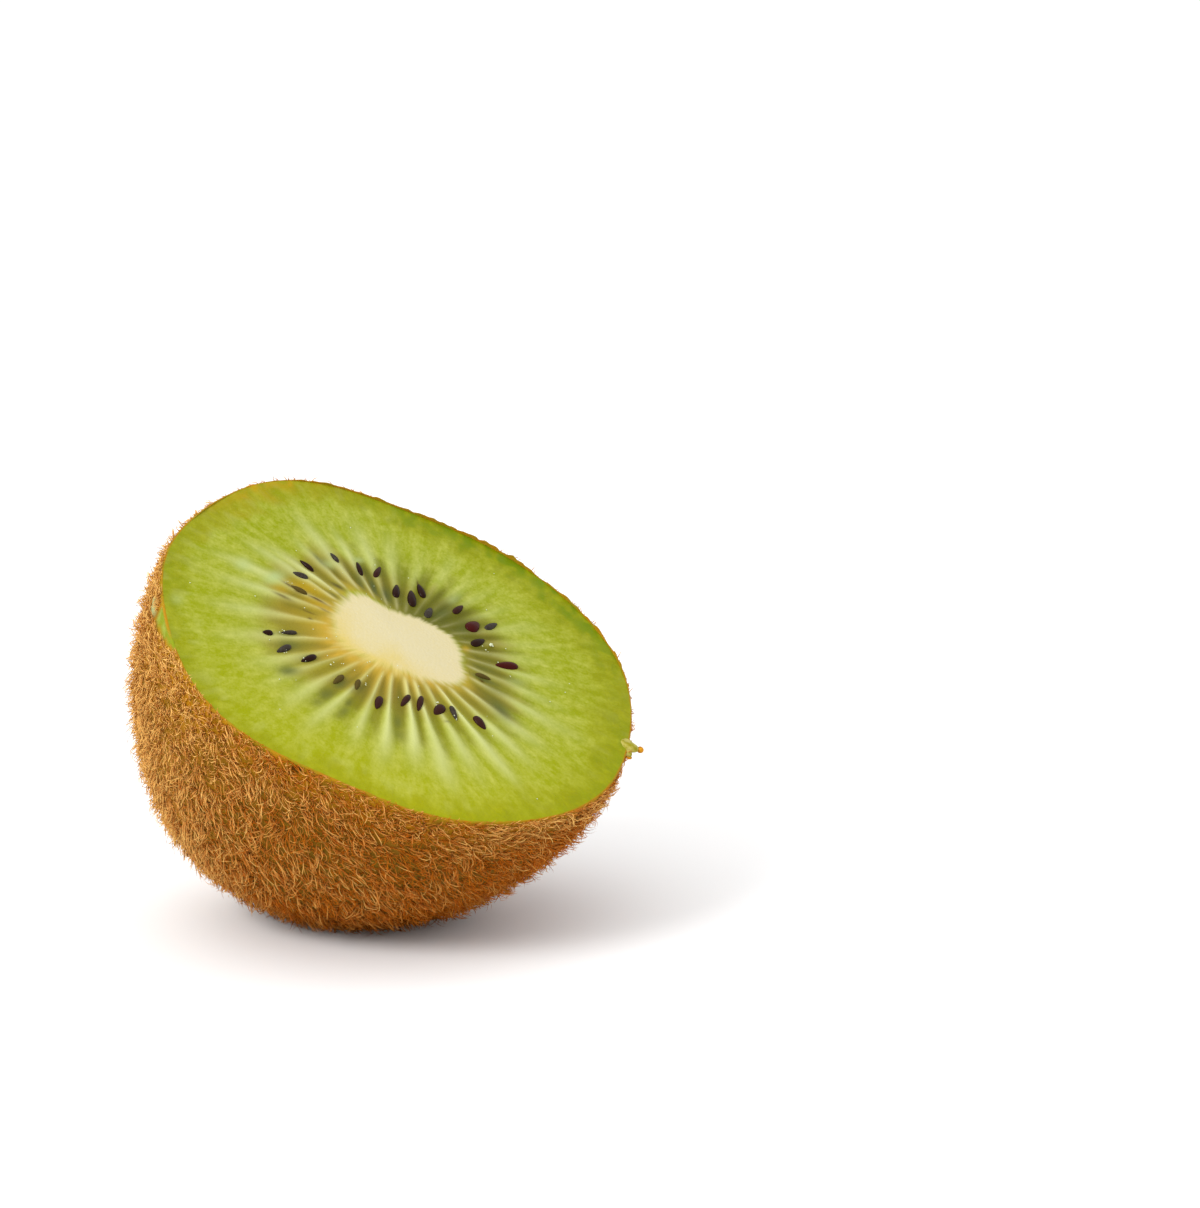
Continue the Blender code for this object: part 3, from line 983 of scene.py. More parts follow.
@dataclass(frozen=True)
class SkinFinish:
    """Kiwi skin: a thin, dry, corky rind, matt, olive under brown, orange where it was cut."""

    name: str = "corky_kiwi_skin"
    brown: str = "8C5A14"
    olive: str = "6E520A"
    # Golden skin near the cut, also used as painted light on the left side.
    gold: str = "A8740A"
    cut: str = "A4760E"
    cut_green: str = "8A7E12"
    green: str = "7C8A14"
    green_light: str = "9CA24C"
    roughness: float = 0.75
    flake: str = "9A9C66"
    spot: str = "3A1C0A"
    # Cork is full of air and mirrors next to nothing.
    shine: float = 0.1
    patch: float = 1.6
    pore: float = 0.25
    bump: float = 0.06

    def build(self) -> bpy.types.Material:
        """Makes the material from the skin's masks."""
        made, tree, shader = new_material(self.name)
        place = add_node(tree, "ShaderNodeTexCoord").outputs["Object"]
        masks = {}
        for name, parts in (("rind", ("olive", "gold", "edge")), ("blemish", ("peeled", "flake", "spot"))):
            read = add_node(tree, "ShaderNodeAttribute", {"attribute_name": name})
            split = add_node(tree, "ShaderNodeSeparateColor", None, {"Color": read.outputs["Color"]})
            masks.update(zip(parts, split.outputs))
        patch = add_node(tree, "ShaderNodeTexNoise", None,
                         {"Vector": place, "Scale": 1.0 / (self.patch * MM), "Detail": 4.0})
        pore = add_node(tree, "ShaderNodeTexNoise", None,
                        {"Vector": place, "Scale": 1.0 / (self.pore * MM), "Detail": 2.0})
        spots = add_node(tree, "ShaderNodeMapRange", None,
                         {"Value": patch.outputs["Fac"], "From Min": 0.42, "From Max": 0.68, "To Max": 0.7})
        cut = mix_layers(tree, linear(self.cut), [(spots.outputs[0], linear(self.cut_green))])
        green = mix_layers(tree, linear(self.green), [(spots.outputs[0], linear(self.green_light))])
        ground = mix_layers(tree, linear(self.brown), [
            (masks["olive"], linear(self.olive)),
            (masks["gold"], linear(self.gold)),
            (spots.outputs[0], linear(self.olive)),
            (masks["edge"], cut),
            (masks["peeled"], green),
            (masks["flake"], linear(self.flake)),
            (masks["spot"], linear(self.spot)),
        ])
        bump = add_node(tree, "ShaderNodeBump", None,
                        {"Height": pore.outputs["Fac"], "Distance": self.bump * MM, "Strength": 1.0})
        tree.links.new(ground, shader.inputs["Base Color"])
        tree.links.new(bump.outputs["Normal"], shader.inputs["Normal"])
        shader.inputs["Roughness"].default_value = self.roughness
        shader.inputs["Specular IOR Level"].default_value = self.shine
        return made


@dataclass(frozen=True)
class Blemishes:
    """Damage on the skin: a peeled wedge with a loose flake at the left, and dark spots by the rim."""

    # The wedge narrows from its first bearing to its last; depths are in mm below the cut.
    peel_bearings: tuple = (191.0, 206.0)
    peel_depths: tuple = (0.35, 2.2)
    flake_at: tuple = (187.0, 2.3, 3.2, 1.2)
    # Bearing, depth, length round the fruit and height, in degrees and mm.
    spots: tuple = ((246.75, 0.8, 1.1, 0.8), (282.5, 0.5, 0.6, 0.4), (262.0, 5.5, 0.5, 0.4))
    radius: float = 26.0
    margin_turn: float = 0.9
    margin_depth: float = 0.3

    def patch(self, bearing: np.ndarray, depth: np.ndarray, spot: tuple) -> np.ndarray:
        """A soft oval on the skin: 1 in its middle, 0 outside."""
        along = np.radians((bearing - spot[0] + 180.0) % 360.0 - 180.0) * self.radius
        return 1.0 - step(0.75, 1.1, np.hypot(2.0 * along / spot[2], 2.0 * (depth - spot[1]) / spot[3]))

    def masks(self, bearing: np.ndarray, depth: np.ndarray) -> np.ndarray:
        """The damage.

        Args:
            bearing: bearings in degrees.
            depth: depths below the cut in mm.

        Returns:
            How peeled, how flaked and how spotted each point is.
        """
        first, last = self.peel_bearings
        share = (bearing - first) / (last - first)
        low = self.peel_depths[1] * (1.0 - np.clip(share, 0.0, 1.0) ** 1.7)
        high = self.peel_depths[0] * (1.0 - share) - 0.1 * step(0.6, 1.0, share)
        inside = step(-0.15, 0.15, low - depth) * step(-0.12, 0.12, depth - high)
        peeled = inside * step(-0.02, 0.02, share) * step(-0.02, 0.02, 1.0 - share)
        flake = self.patch(bearing, depth, self.flake_at)
        spotted = np.zeros_like(peeled)
        for spot in self.spots:
            spotted = np.maximum(spotted, self.patch(bearing, depth, spot))
        return np.stack([peeled, flake, spotted], axis=-1)

    def clearing(self, bearing: np.ndarray, depth: np.ndarray) -> np.ndarray:
        """How bare of hair the skin is: on the damage and just beside it."""
        bare = np.zeros(np.broadcast(bearing, depth).shape)
        for turn in (-self.margin_turn, 0.0, self.margin_turn):
            for down in (-self.margin_depth, 0.0, self.margin_depth):
                near = self.masks(bearing + turn, depth + down)
                bare = np.maximum(bare, near[..., :2].max(axis=-1))
        return np.maximum(bare, 0.8 * self.masks(bearing, depth)[..., 2])


@dataclass
class Skin:
    """The rind: a thin shell with a ragged cut edge and the scar at its end."""

    form: Form
    finish: SkinFinish = SkinFinish()
    blemishes: Blemishes = Blemishes()
    bearings: int = 480
    outer_rings: int = 72
    inner_rings: int = 20
    thickness: float = 0.2
    edge_drop: float = 0.12
    ragged: float = 0.2
    last_angle: float = 83.0
    # Where the knife drew the skin up past the cut: bearing, half width in degrees, height in mm.
    lips: tuple = (
        (112.0, 7.0, 0.20), (96.0, 11.0, 0.22), (80.0, 9.0, 0.26), (66.0, 7.0, 0.36), (59.0, 4.5, 0.44),
        (44.0, 5.0, 0.30), (33.0, 4.0, 0.32), (21.0, 5.0, 0.22), (150.0, 7.0, 0.12),
    )
    scar_rings: tuple = ((3.1, 0.05), (2.6, 0.28), (2.1, 0.35), (1.7, 0.22), (1.2, 0.0), (0.7, -0.35))
    scar_dip: float = 0.5
    bumps: float = 0.10
    peel_dip: float = 0.15
    flake_lift: float = 0.25
    spot_dip: float = 0.05
    sharp: float = 60.0

    def rind(self, bearing: np.ndarray, depth: np.ndarray) -> np.ndarray:
        """The skin's masks.

        Args:
            bearing: bearings in degrees.
            depth: depth below the cut in mm.

        Returns:
            How olive, how golden and how freshly cut each point is; the gold on the left is partly painted
            light.
        """
        front = around(bearing, 268.0, 62.0)
        olive = 0.15 + 0.75 * front * step(2.0, 9.0, depth)
        # Near the rim the gold is the skin's own colour; the gold added round the left is painted light on
        # the side facing the key lamp.
        gold = (0.35 + 0.65 * front) * (1.0 - step(1.0, 6.0, depth)) + 0.6 * around(bearing, 190.0, 50.0)
        edge = 1.0 - step(0.15, 0.8, depth)
        return np.stack(np.broadcast_arrays(olive, gold, edge), axis=-1)

    def build(self) -> bpy.types.Object:
        """Makes the skin, which stands for the solid fruit."""
        bearing = np.arange(self.bearings) * 360.0 / self.bearings
        circle = np.stack([np.cos(np.radians(bearing)), np.sin(np.radians(bearing))], axis=-1)
        rough = noise(np.concatenate([circle * 40.0, circle[:, :1] * 0.0], axis=-1), 1.0, 21)
        coarse = noise(np.concatenate([circle * 12.0, circle[:, :1] * 0.0], axis=-1), 1.0, 22)
        rag = self.ragged * (rough + coarse - 1.0)
        for place, spread, height in self.lips:
            level = np.minimum(1.0, 1.5 * around(bearing, place, spread)) * (0.3 + 1.4 * rough)
            rag = np.maximum(rag, height * level)
        rings, depths = [], []
        for inner in reversed(eased(self.inner_rings)):
            share = np.full_like(bearing, inner)
            rings.append(self.form.skin_point(bearing, share, self.thickness))
            depths.append(share * self.form.half_length)
        for inset, drop in ((self.thickness, 0.0), (self.thickness * 0.5, -0.04), (0.04, 0.35), (0.0, 1.0)):
            share = np.full_like(bearing, self.edge_drop * max(drop, 0.0) / self.form.half_length)
            ring = self.form.skin_point(bearing, share, inset)
            ring[:, 2] = -self.edge_drop * drop + rag * (1.0 - 0.3 * max(drop, 0.0))
            rings.append(ring)
            depths.append(np.full_like(bearing, self.edge_drop))
        for i in range(1, self.outer_rings + 1):
            share = np.full_like(bearing, math.sin(math.radians(self.last_angle) * i / self.outer_rings))
            ring = self.form.skin_point(bearing, share)
            lump = noise(ring, 1.1, 23) + noise(ring, 0.5, 24) - 1.0
            damage = self.blemishes.masks(bearing, share * self.form.half_length)
            swell = (self.bumps * lump * step(0.0, 1.0, share * self.form.half_length)
                     + damage @ np.array([-self.peel_dip, self.flake_lift, -self.spot_dip]))
            ring[:, :2] += circle * swell[:, None]
            rings.append(ring)
            depths.append(share * self.form.half_length)
        end = np.array([*self.form.end_drift, -self.form.half_length])
        for radius, down in self.scar_rings:
            ring = np.concatenate([circle * radius, np.full((self.bearings, 1), -down)], axis=-1) + end
            rings.append(ring)
            depths.append(np.full_like(bearing, self.form.half_length))
        inner_end = end + np.array([0.0, 0.0, self.thickness])
        surface = RingSurface("skin", (inner_end, end + np.array([0.0, 0.0, self.scar_dip])), rings)
        turns = np.broadcast_to(bearing, (len(rings), self.bearings))
        surface.masks["rind"] = self.rind(turns, np.stack(depths))
        surface.masks["blemish"] = self.blemishes.masks(turns, np.stack(depths))
        piece = surface.build(self.form, self.sharp)
        hand_over(piece, "fruit", self.finish.build())
        return piece


@dataclass(frozen=True)
class SeedFinish:
    """Kiwi seed coat: hard, smooth and wet, black-brown with a red or violet cast.

    The moist coat gives small sharp lights, hence a low roughness on the seeds that lie free.
    """

    name: str = "wet_kiwi_seed"
    dark: str = "1A0D05"
    red: str = "3A0803"
    grey_sheen: str = "423E36"
    veiled: str = "5C501E"
    roughness: float = 0.3
    ior: float = 1.5
    shine: float = 0.08
    dimple: float = 0.35
    bump: float = 0.03
    # Strength of the grey juice film, partly painted sheen; how veiled and rough a seed under juice gets.
    film_strength: float = 1.8
    most_veiled: float = 0.6
    clear_gloss: float = 0.7
    dim_roughness: float = 0.6

    def build(self) -> bpy.types.Material:
        """Makes the material from each seed's look."""
        made, tree, shader = new_material(self.name)
        place = add_node(tree, "ShaderNodeTexCoord").outputs["Object"]
        read = add_node(tree, "ShaderNodeAttribute", {"attribute_name": "look"})
        split = add_node(tree, "ShaderNodeSeparateColor", None, {"Color": read.outputs["Color"]})
        red, grey_sheen, gloss = split.outputs[:3]
        dimples = add_node(tree, "ShaderNodeTexNoise", None,
                           {"Vector": place, "Scale": 1.0 / (self.dimple * MM), "Detail": 2.0})
        # The grey film in dimpled patches is partly a juice film and partly painted sheen.
        film = add_node(tree, "ShaderNodeMath", {"operation": "MULTIPLY"},
                        {0: grey_sheen, 1: dimples.outputs["Fac"]})
        film = add_node(tree, "ShaderNodeMath", {"operation": "MULTIPLY", "use_clamp": True},
                        {0: film.outputs[0], 1: self.film_strength})
        veil = add_node(tree, "ShaderNodeMapRange", None,
                        {"Value": gloss, "From Max": self.clear_gloss, "To Min": self.most_veiled,
                         "To Max": 0.0})
        colour = mix_layers(tree, linear(self.dark), [
            (red, linear(self.red)),
            (film.outputs[0], linear(self.grey_sheen)),
            (veil.outputs[0], linear(self.veiled)),
        ])
        rough = add_node(tree, "ShaderNodeMapRange", None,
                         {"Value": gloss, "To Min": self.dim_roughness, "To Max": self.roughness})
        bump = add_node(tree, "ShaderNodeBump", None,
                        {"Height": dimples.outputs["Fac"], "Distance": self.bump * MM, "Strength": 1.0})
        tree.links.new(colour, shader.inputs["Base Color"])
        tree.links.new(rough.outputs[0], shader.inputs["Roughness"])
        tree.links.new(bump.outputs["Normal"], shader.inputs["Normal"])
        shader.inputs["IOR"].default_value = self.ior
        shader.inputs["Specular IOR Level"].default_value = self.shine
        return made


@dataclass
class SeedRing:
    """The seeds that lie open in the cut: one drop is modelled, then copied to each place."""

    form: Form
    pattern: CutPattern
    finish: SeedFinish = SeedFinish()
    thickness: float = 0.8
    taper: float = 0.58
    slimness: float = 0.85
    segments: int = 20
    rings: int = 12

    def drop(self) -> bpy.types.Object:
        """Models one seed, a unit long along X: a round form tapered to one end."""
        deselect_all()
        bpy.ops.mesh.primitive_uv_sphere_add(segments=self.segments, ring_count=self.rings, radius=0.5)
        made = bpy.context.object
        taper = made.modifiers.new("taper", "SIMPLE_DEFORM")
        taper.deform_method = "TAPER"
        taper.deform_axis = "Z"
        taper.factor = -self.taper
        bpy.ops.object.modifier_apply(modifier=taper.name)
        bpy.ops.object.mode_set(mode="EDIT")
        bpy.ops.mesh.select_all(action="SELECT")
        bpy.ops.transform.resize(value=(self.slimness, self.slimness, 1.0))
        bpy.ops.object.mode_set(mode="OBJECT")
        bpy.ops.object.shade_smooth()
        return made

    def build(self) -> bpy.types.Object:
        """Makes all the seeds as one piece on the fruit."""
        model = self.drop()
        place = self.form.place()
        upright = Matrix(((0, 0, 1, 0), (1, 0, 0, 0), (0, 1, 0, 0), (0, 0, 0, 1)))
        copies = []
        for seed in SEEDS:
            turn = math.radians(seed.bearing)
            spot = Vector((seed.distance * math.cos(turn), seed.distance * math.sin(turn),
                           -self.pattern.chamber_dip))
            size = Matrix.Diagonal((seed.length * MM, seed.width * MM, self.thickness * MM, 1.0))
            spin = Matrix.Rotation(turn + math.radians(seed.turn), 4, "Z")
            copy = copy_placed(model, place @ Matrix.Translation(spot * MM) @ spin @ size @ upright)
            write_attribute(copy, "look", np.tile(np.array(seed.look.value), (len(copy.data.vertices), 1)))
            copies.append(copy)
        bpy.data.objects.remove(model, do_unlink=True)
        piece = join_parts(copies, "seeds")
        hand_over(piece, "fruit", self.finish.build())
        return piece


@dataclass(frozen=True)
class TornFinish:
    """A torn crumb of wet flesh or skin: pale where air got between its cells, satin."""

    name: str
    colour: str
    other: str
    roughness: float = 0.35
    ior: float = 1.37
    shine: float = 0.25
    patch: float = 0.5
    bump: float = 0.08

    def build(self) -> bpy.types.Material:
        """Makes the material of two colours in patches."""
        made, tree, shader = new_material(self.name)
        place = add_node(tree, "ShaderNodeTexCoord").outputs["Object"]
        patch = add_node(tree, "ShaderNodeTexNoise", None,
                         {"Vector": place, "Scale": 1.0 / (self.patch * MM), "Detail": 3.0})
        share = add_node(tree, "ShaderNodeMapRange", None,
                         {"Value": patch.outputs["Fac"], "From Min": 0.4, "From Max": 0.6})
        colour = mix_layers(tree, linear(self.colour), [(share.outputs[0], linear(self.other))])
        bump = add_node(tree, "ShaderNodeBump", None,
                        {"Height": patch.outputs["Fac"], "Distance": self.bump * MM, "Strength": 1.0})
        tree.links.new(colour, shader.inputs["Base Color"])
        tree.links.new(bump.outputs["Normal"], shader.inputs["Normal"])
        shader.inputs["Roughness"].default_value = self.roughness
        shader.inputs["IOR"].default_value = self.ior
        shader.inputs["Specular IOR Level"].default_value = self.shine
        return made


@dataclass(frozen=True)
class Crumb:
    """A small lump: bearing, how far out of the rim and how deep, its size and its lumpiness."""

    bearing: float
    out: float
    depth: float
    size: tuple
    turn: float = 0.0
    lumps: float = 0.18


@dataclass
class TornScraps:
    """The torn scrap that stands out at the right of the rim, and three beads of dried skin there."""

    form: Form
    flesh: TornFinish = TornFinish("torn_pale_flesh", "AEA450", "8C8406")
    skin: TornFinish = TornFinish("dried_skin_bead", "D08E0A", "A46C08")
    scrap: tuple = (
        Crumb(-7.3, 0.15, 0.10, (2.3, 1.4, 0.8), 8.0),
        Crumb(-6.5, -0.3, 0.05, (1.6, 1.2, 0.5), 40.0),
        Crumb(-8.8, 0.0, 0.35, (1.5, 1.2, 0.7), -35.0),
    )
    beads: tuple = (
        Crumb(-6.7, 1.35, 0.15, (0.85, 0.8, 0.65), 0.0, 0.12),
        Crumb(14.5, 0.05, 0.25, (0.45, 0.5, 0.4), 0.0, 0.12),
        Crumb(-9.6, 0.35, 0.60, (0.9, 0.6, 0.4), 0.0, 0.2),
    )
    subdivisions: int = 4
    cell: float = 0.45
    first_pattern: int = 60

    def crumb(self, crumb: Crumb, number: int) -> bpy.types.Object:
        """Models one lump and sets it at its place.

        Args:
            crumb: what it is like.
            number: picks its lumps.

        Returns:
            The mesh object, at the origin with its place in the mesh.
        """
        deselect_all()
        bpy.ops.mesh.primitive_ico_sphere_add(subdivisions=self.subdivisions, radius=0.5)
        made = bpy.context.object
        spots = RingSurface.read(made)
        lumps = noise(spots, self.cell, self.first_pattern + number)
        spots *= 1.0 + crumb.lumps * (2.0 * lumps - 1.0)[:, None]
        made.data.vertices.foreach_set("co", spots.astype(np.float32).ravel())
        turn = math.radians(crumb.bearing)
        reach = float(self.form.rim(np.array(crumb.bearing))) + crumb.out
        spot = Vector((reach * math.cos(turn), reach * math.sin(turn), -crumb.depth))
        size = Matrix.Diagonal((*(value * MM for value in crumb.size), 1.0))
        spin = Matrix.Rotation(turn + math.radians(crumb.turn), 4, "Z")
        made.data.transform(self.form.place() @ Matrix.Translation(spot * MM) @ spin @ size)
        bpy.ops.object.shade_smooth()
        return made

    def join(self, name: str, crumbs: tuple) -> bpy.types.Object:
        """Joins lumps into one piece."""
        return join_parts([self.crumb(crumb, number) for number, crumb in enumerate(crumbs)], name)

    def build(self) -> list[bpy.types.Object]:
        """Makes the scrap and the beads, both on the solid fruit."""
        scrap = self.join("torn_scrap", self.scrap)
        hand_over(scrap, "fruit", self.flesh.build())
        beads = self.join("skin_beads", self.beads)
        hand_over(beads, "fruit", self.skin.build())
        return [scrap, beads]


@dataclass(frozen=True)
class PaintedGlintFinish:
    """Painted glints: a near-white colour on tiny beads, standing for glints of light on the wet cut."""

    name: str = "painted_glint_beads"
    # A near-white painted glint.
    colour: str = "C8CEAC"
    roughness: float = 0.15
    ior: float = 1.34

    def build(self) -> bpy.types.Material:
        """Makes the material."""
        made, _, shader = new_material(self.name)
        shader.inputs["Base Color"].default_value = linear(self.colour)
        shader.inputs["Roughness"].default_value = self.roughness
        shader.inputs["IOR"].default_value = self.ior
        return made


@dataclass
class PaintedGlintBeads:
    """Tiny beads with painted glints on the cut: one is modelled, then copied to each place."""

    form: Form
    finish: PaintedGlintFinish = PaintedGlintFinish()
    # Groups: middle across and up in mm, spread in mm, how many, and the largest radius in mm.
    groups: tuple = (
        (10.4, 5.6, 0.18, 5, 0.19),
        (9.7, 4.7, 0.35, 3, 0.10),
        (12.8, 1.4, 0.25, 2, 0.09),
        (-12.9, -3.3, 0.5, 4, 0.09),
        (-14.5, -4.6, 0.5, 2, 0.09),
        (-10.2, -6.5, 0.35, 3, 0.10),
        (-12.2, -6.2, 0.6, 3, 0.09),
        (-7.0, -5.4, 0.7, 4, 0.10),
        (-3.6, -6.6, 0.8, 4, 0.09),
        (4.9, -6.8, 0.7, 4, 0.11),
        (6.4, -8.2, 0.5, 3, 0.10),
        (-12.4, 4.6, 0.8, 4, 0.09),
        (1.25, 8.9, 0.12, 3, 0.09),
        (0.0, -2.0, 14.0, 26, 0.09),
        (0.0, 2.0, 20.0, 40, 0.08),
    )
    flatness: float = 0.5
    smallest: float = 0.45
    scatter: float = 0.6
    rim_margin: float = 2.0
    seed: int = 51

    def build(self) -> bpy.types.Object:
        """Makes the beads with their painted glints as one piece."""
        draw = np.random.default_rng(self.seed)
        deselect_all()
        bpy.ops.mesh.primitive_ico_sphere_add(subdivisions=2, radius=1.0)
        model = bpy.context.object
        bpy.ops.object.shade_smooth()
        copies = []
        for across, up, spread, count, largest in self.groups:
            for _ in range(count):
                spot = np.array([across, up]) + draw.normal(0.0, spread, 2) * self.scatter
                radius = largest * draw.uniform(self.smallest, 1.0)
                if np.hypot(*spot) > self.form.face_radius - self.rim_margin:
                    continue
                size = Matrix.Diagonal((radius * MM, radius * MM, radius * self.flatness * MM, 1.0))
                place = Matrix.Translation(Vector((spot[0] * MM, spot[1] * MM, 0.5 * radius * MM)))
                copies.append(copy_placed(model, self.form.place() @ place @ size))
        bpy.data.objects.remove(model, do_unlink=True)
        piece = join_parts(copies, "painted_glint_beads")
        hand_over(piece, None, self.finish.build())
        return piece


@dataclass(frozen=True)
class FuzzFinish:
    """Kiwi hair: dry, hollow brown hairs, darker at the root and golden where light passes."""

    name: str = "dry_kiwi_hair"
    root: str = "8C4A08"
    brown: str = "C66E12"
    gold: str = "FFCC74"
    rust: str = "CC5E08"
    roughness: float = 0.6
    # A dry matt coat of hair shows no film of light.
    shine: float = 0.05

    def build(self) -> bpy.types.Material:
        """Makes the material from each hair's tone."""
        made, tree, shader = new_material(self.name)
        read = add_node(tree, "ShaderNodeAttribute", {"attribute_name": "hair"})
        split = add_node(tree, "ShaderNodeSeparateColor", None, {"Color": read.outputs["Color"]})
        # The second channel is the lightness along the hair, with painted shade near the table and on stray
        # hairs.
        tone, along, rust = split.outputs[:3]
        tip = mix_layers(tree, linear(self.brown), [(tone, linear(self.gold)), (rust, linear(self.rust))])
        colour = mix_layers(tree, linear(self.root), [(along, tip)])
        tree.links.new(colour, shader.inputs["Base Color"])
        shader.inputs["Roughness"].default_value = self.roughness
        shader.inputs["Specular IOR Level"].default_value = self.shine
        return made


@dataclass(frozen=True)
class Coat:
    """One kind of hair, in mm and degrees.

    radius is at the root. lift is how steeply hairs leave the skin, curl how far they turn along
    their length, and wild how far they stray from the comb. clump is how strongly they lean to the
    nearest guide hair, and clump_spacing how far apart guides stand. gold shifts their tone, seed
    picks their draws, segments is how many straight parts each has, and tip how light its end is.
    """

    name: str
    count: int
    length: tuple
    radius: float
    lift: tuple
    curl: float
    wild: float
    clump: float
    clump_spacing: float
    gold: float
    seed: int
    segments: int = 4
    tip: float = 1.0


@dataclass
class Fuzz:
    """The hairy coat, in a few kinds of hair, each kind one piece."""

    form: Form
    finish: FuzzFinish = FuzzFinish()
    blemishes: Blemishes = Blemishes()
    coats: tuple = (
        Coat("fuzz_felt", 12000, (0.6, 1.3), 0.055, (4.0, 25.0), 60.0, 70.0, 0.2, 1.0, -0.45, 31, 3),
        Coat("fuzz_down", 10500, (0.8, 1.6), 0.056, (10.0, 45.0), 90.0, 80.0, 0.1, 1.0, -0.2, 36, 3),
        Coat("fuzz_tangled", 8800, (1.1, 2.0), 0.064, (15.0, 60.0), 110.0, 70.0, 0.25, 0.9, -0.1, 32),
        Coat("fuzz_combed", 12000, (1.1, 2.1), 0.064, (12.0, 50.0), 50.0, 34.0, 0.35, 1.1, 0.05, 33, 3),
        Coat("fuzz_wisps", 8800, (1.5, 2.7), 0.066, (22.0, 78.0), 90.0, 65.0, 0.6, 1.3, 0.35, 34),
        # Strays stand against the light; their tip of 0.35 gives them a painted shade.
        Coat("fuzz_strays", 1900, (1.3, 2.6), 0.036, (35.0, 85.0), 45.0, 90.0, 0.0, 3.0, -0.5, 35, 4, 0.35),
    )
    sides: int = 3
    root_depth: float = 0.08
    start_depth: float = 0.15
    ground: float = 0.06
    lowest_side: float = 0.02
    skin_area: float = 5200.0
    fewest_guides: int = 8
    clump_power: float = 1.4
    thickness_spread: tuple = (0.75, 1.2)

    def sample(self, count: int, draw: np.random.Generator) -> tuple[np.ndarray, np.ndarray]:
        """Picks roots evenly over the skin.

        Args:
            count: how many.
            draw: the random source.

        Returns:
            Bearings in degrees and shares of the half's length.
        """
        turns, levels = 360, 240
        bearing = (np.arange(turns) + 0.5) * 360.0 / turns
        angle = (np.arange(levels) + 0.5) / levels * math.pi / 2
        share = np.sin(angle)
        points = self.form.skin_point(bearing[:, None], share[None, :])
        across = np.linalg.norm(np.roll(points, -1, axis=0) - points, axis=-1)
        along = np.linalg.norm(np.gradient(points, axis=1), axis=-1)
        depth = share * self.form.half_length
        full = 1.0 + 0.5 * around(bearing, 265.0, 75.0)[:, None] * (1.0 - step(1.5, 6.0, depth))[None]
        bare = self.blemishes.clearing(*np.broadcast_arrays(bearing[:, None], depth[None]))
        weight = (across * along * full * (1.0 - bare)).ravel()
        picked = draw.choice(weight.size, size=count, p=weight / weight.sum())
        bearing = (picked // levels + draw.random(count)) * 360.0 / turns
        share = np.sin((picked % levels + draw.random(count)) / levels * math.pi / 2)
        return bearing, np.maximum(share, self.start_depth / self.form.half_length)

    def frames(self, bearing: np.ndarray, share: np.ndarray) -> tuple:
        """Where hairs stand.

        Args:
            bearing: bearings in degrees.
            share: shares of the half's length.

        Returns:
            Points, and unit vectors round the fruit, up to the rim and out of the skin.
        """
        little = 1e-3
        little_turn = 0.1
        share = np.clip(share, little, 1.0 - 2 * little)
        point = self.form.skin_point(bearing, share)
        side = self.form.skin_point(bearing + little_turn, share) - point
        up = point - self.form.skin_point(bearing, share + little)
        side /= np.linalg.norm(side, axis=-1, keepdims=True)
        up -= side * np.sum(up * side, axis=-1, keepdims=True)
        up /= np.linalg.norm(up, axis=-1, keepdims=True)
        return point, side, up, np.cross(side, up)

    def comb(self, bearing: np.ndarray, depth: np.ndarray, point: np.ndarray) -> np.ndarray:
        """The way the hair lies, in degrees from round the fruit towards the rim."""
        to_rim = around(bearing, 205.0, 45.0) * (1.0 - step(4.0, 12.0, depth))
        lie = -25.0 * around(bearing, 235.0, 40.0) + 15.0 * around(bearing, 320.0, 35.0)
        swirl = 90.0 * (noise(point, 7.0, 41) - 0.5) + 70.0 * (noise(point, 2.8, 42) - 0.5)
        return lie * (1.0 - to_rim) + 62.0 * to_rim + swirl

    def centrelines(self, frames: tuple, angle: np.ndarray, lift: np.ndarray, curl: np.ndarray,
                    length: np.ndarray, segments: int) -> np.ndarray:
        """The bent middle lines of hairs.

        Args:
            frames: what frames() gives.
            angle: the way each hair lies, in degrees.
            lift: how steeply it leaves the skin, in degrees.
            curl: how far it turns along its length, in degrees.
            length: its length in mm.
            segments: how many straight parts it has.

        Returns:
            Points by hair and step.
        """
        point, side, up, out = frames
        spot = point - out * self.root_depth
        line = [spot]
        for number in range(segments):
            turn = np.radians(angle + curl * number / segments)[:, None]
            rise = np.radians(lift * (1.0 - 0.88 * number / segments))[:, None]
            flat = np.cos(turn) * side + np.sin(turn) * up
            spot = spot + (np.cos(rise) * flat + np.sin(rise) * out) * (length / segments)[:, None]
            line.append(spot)
        return np.stack(line, axis=1)

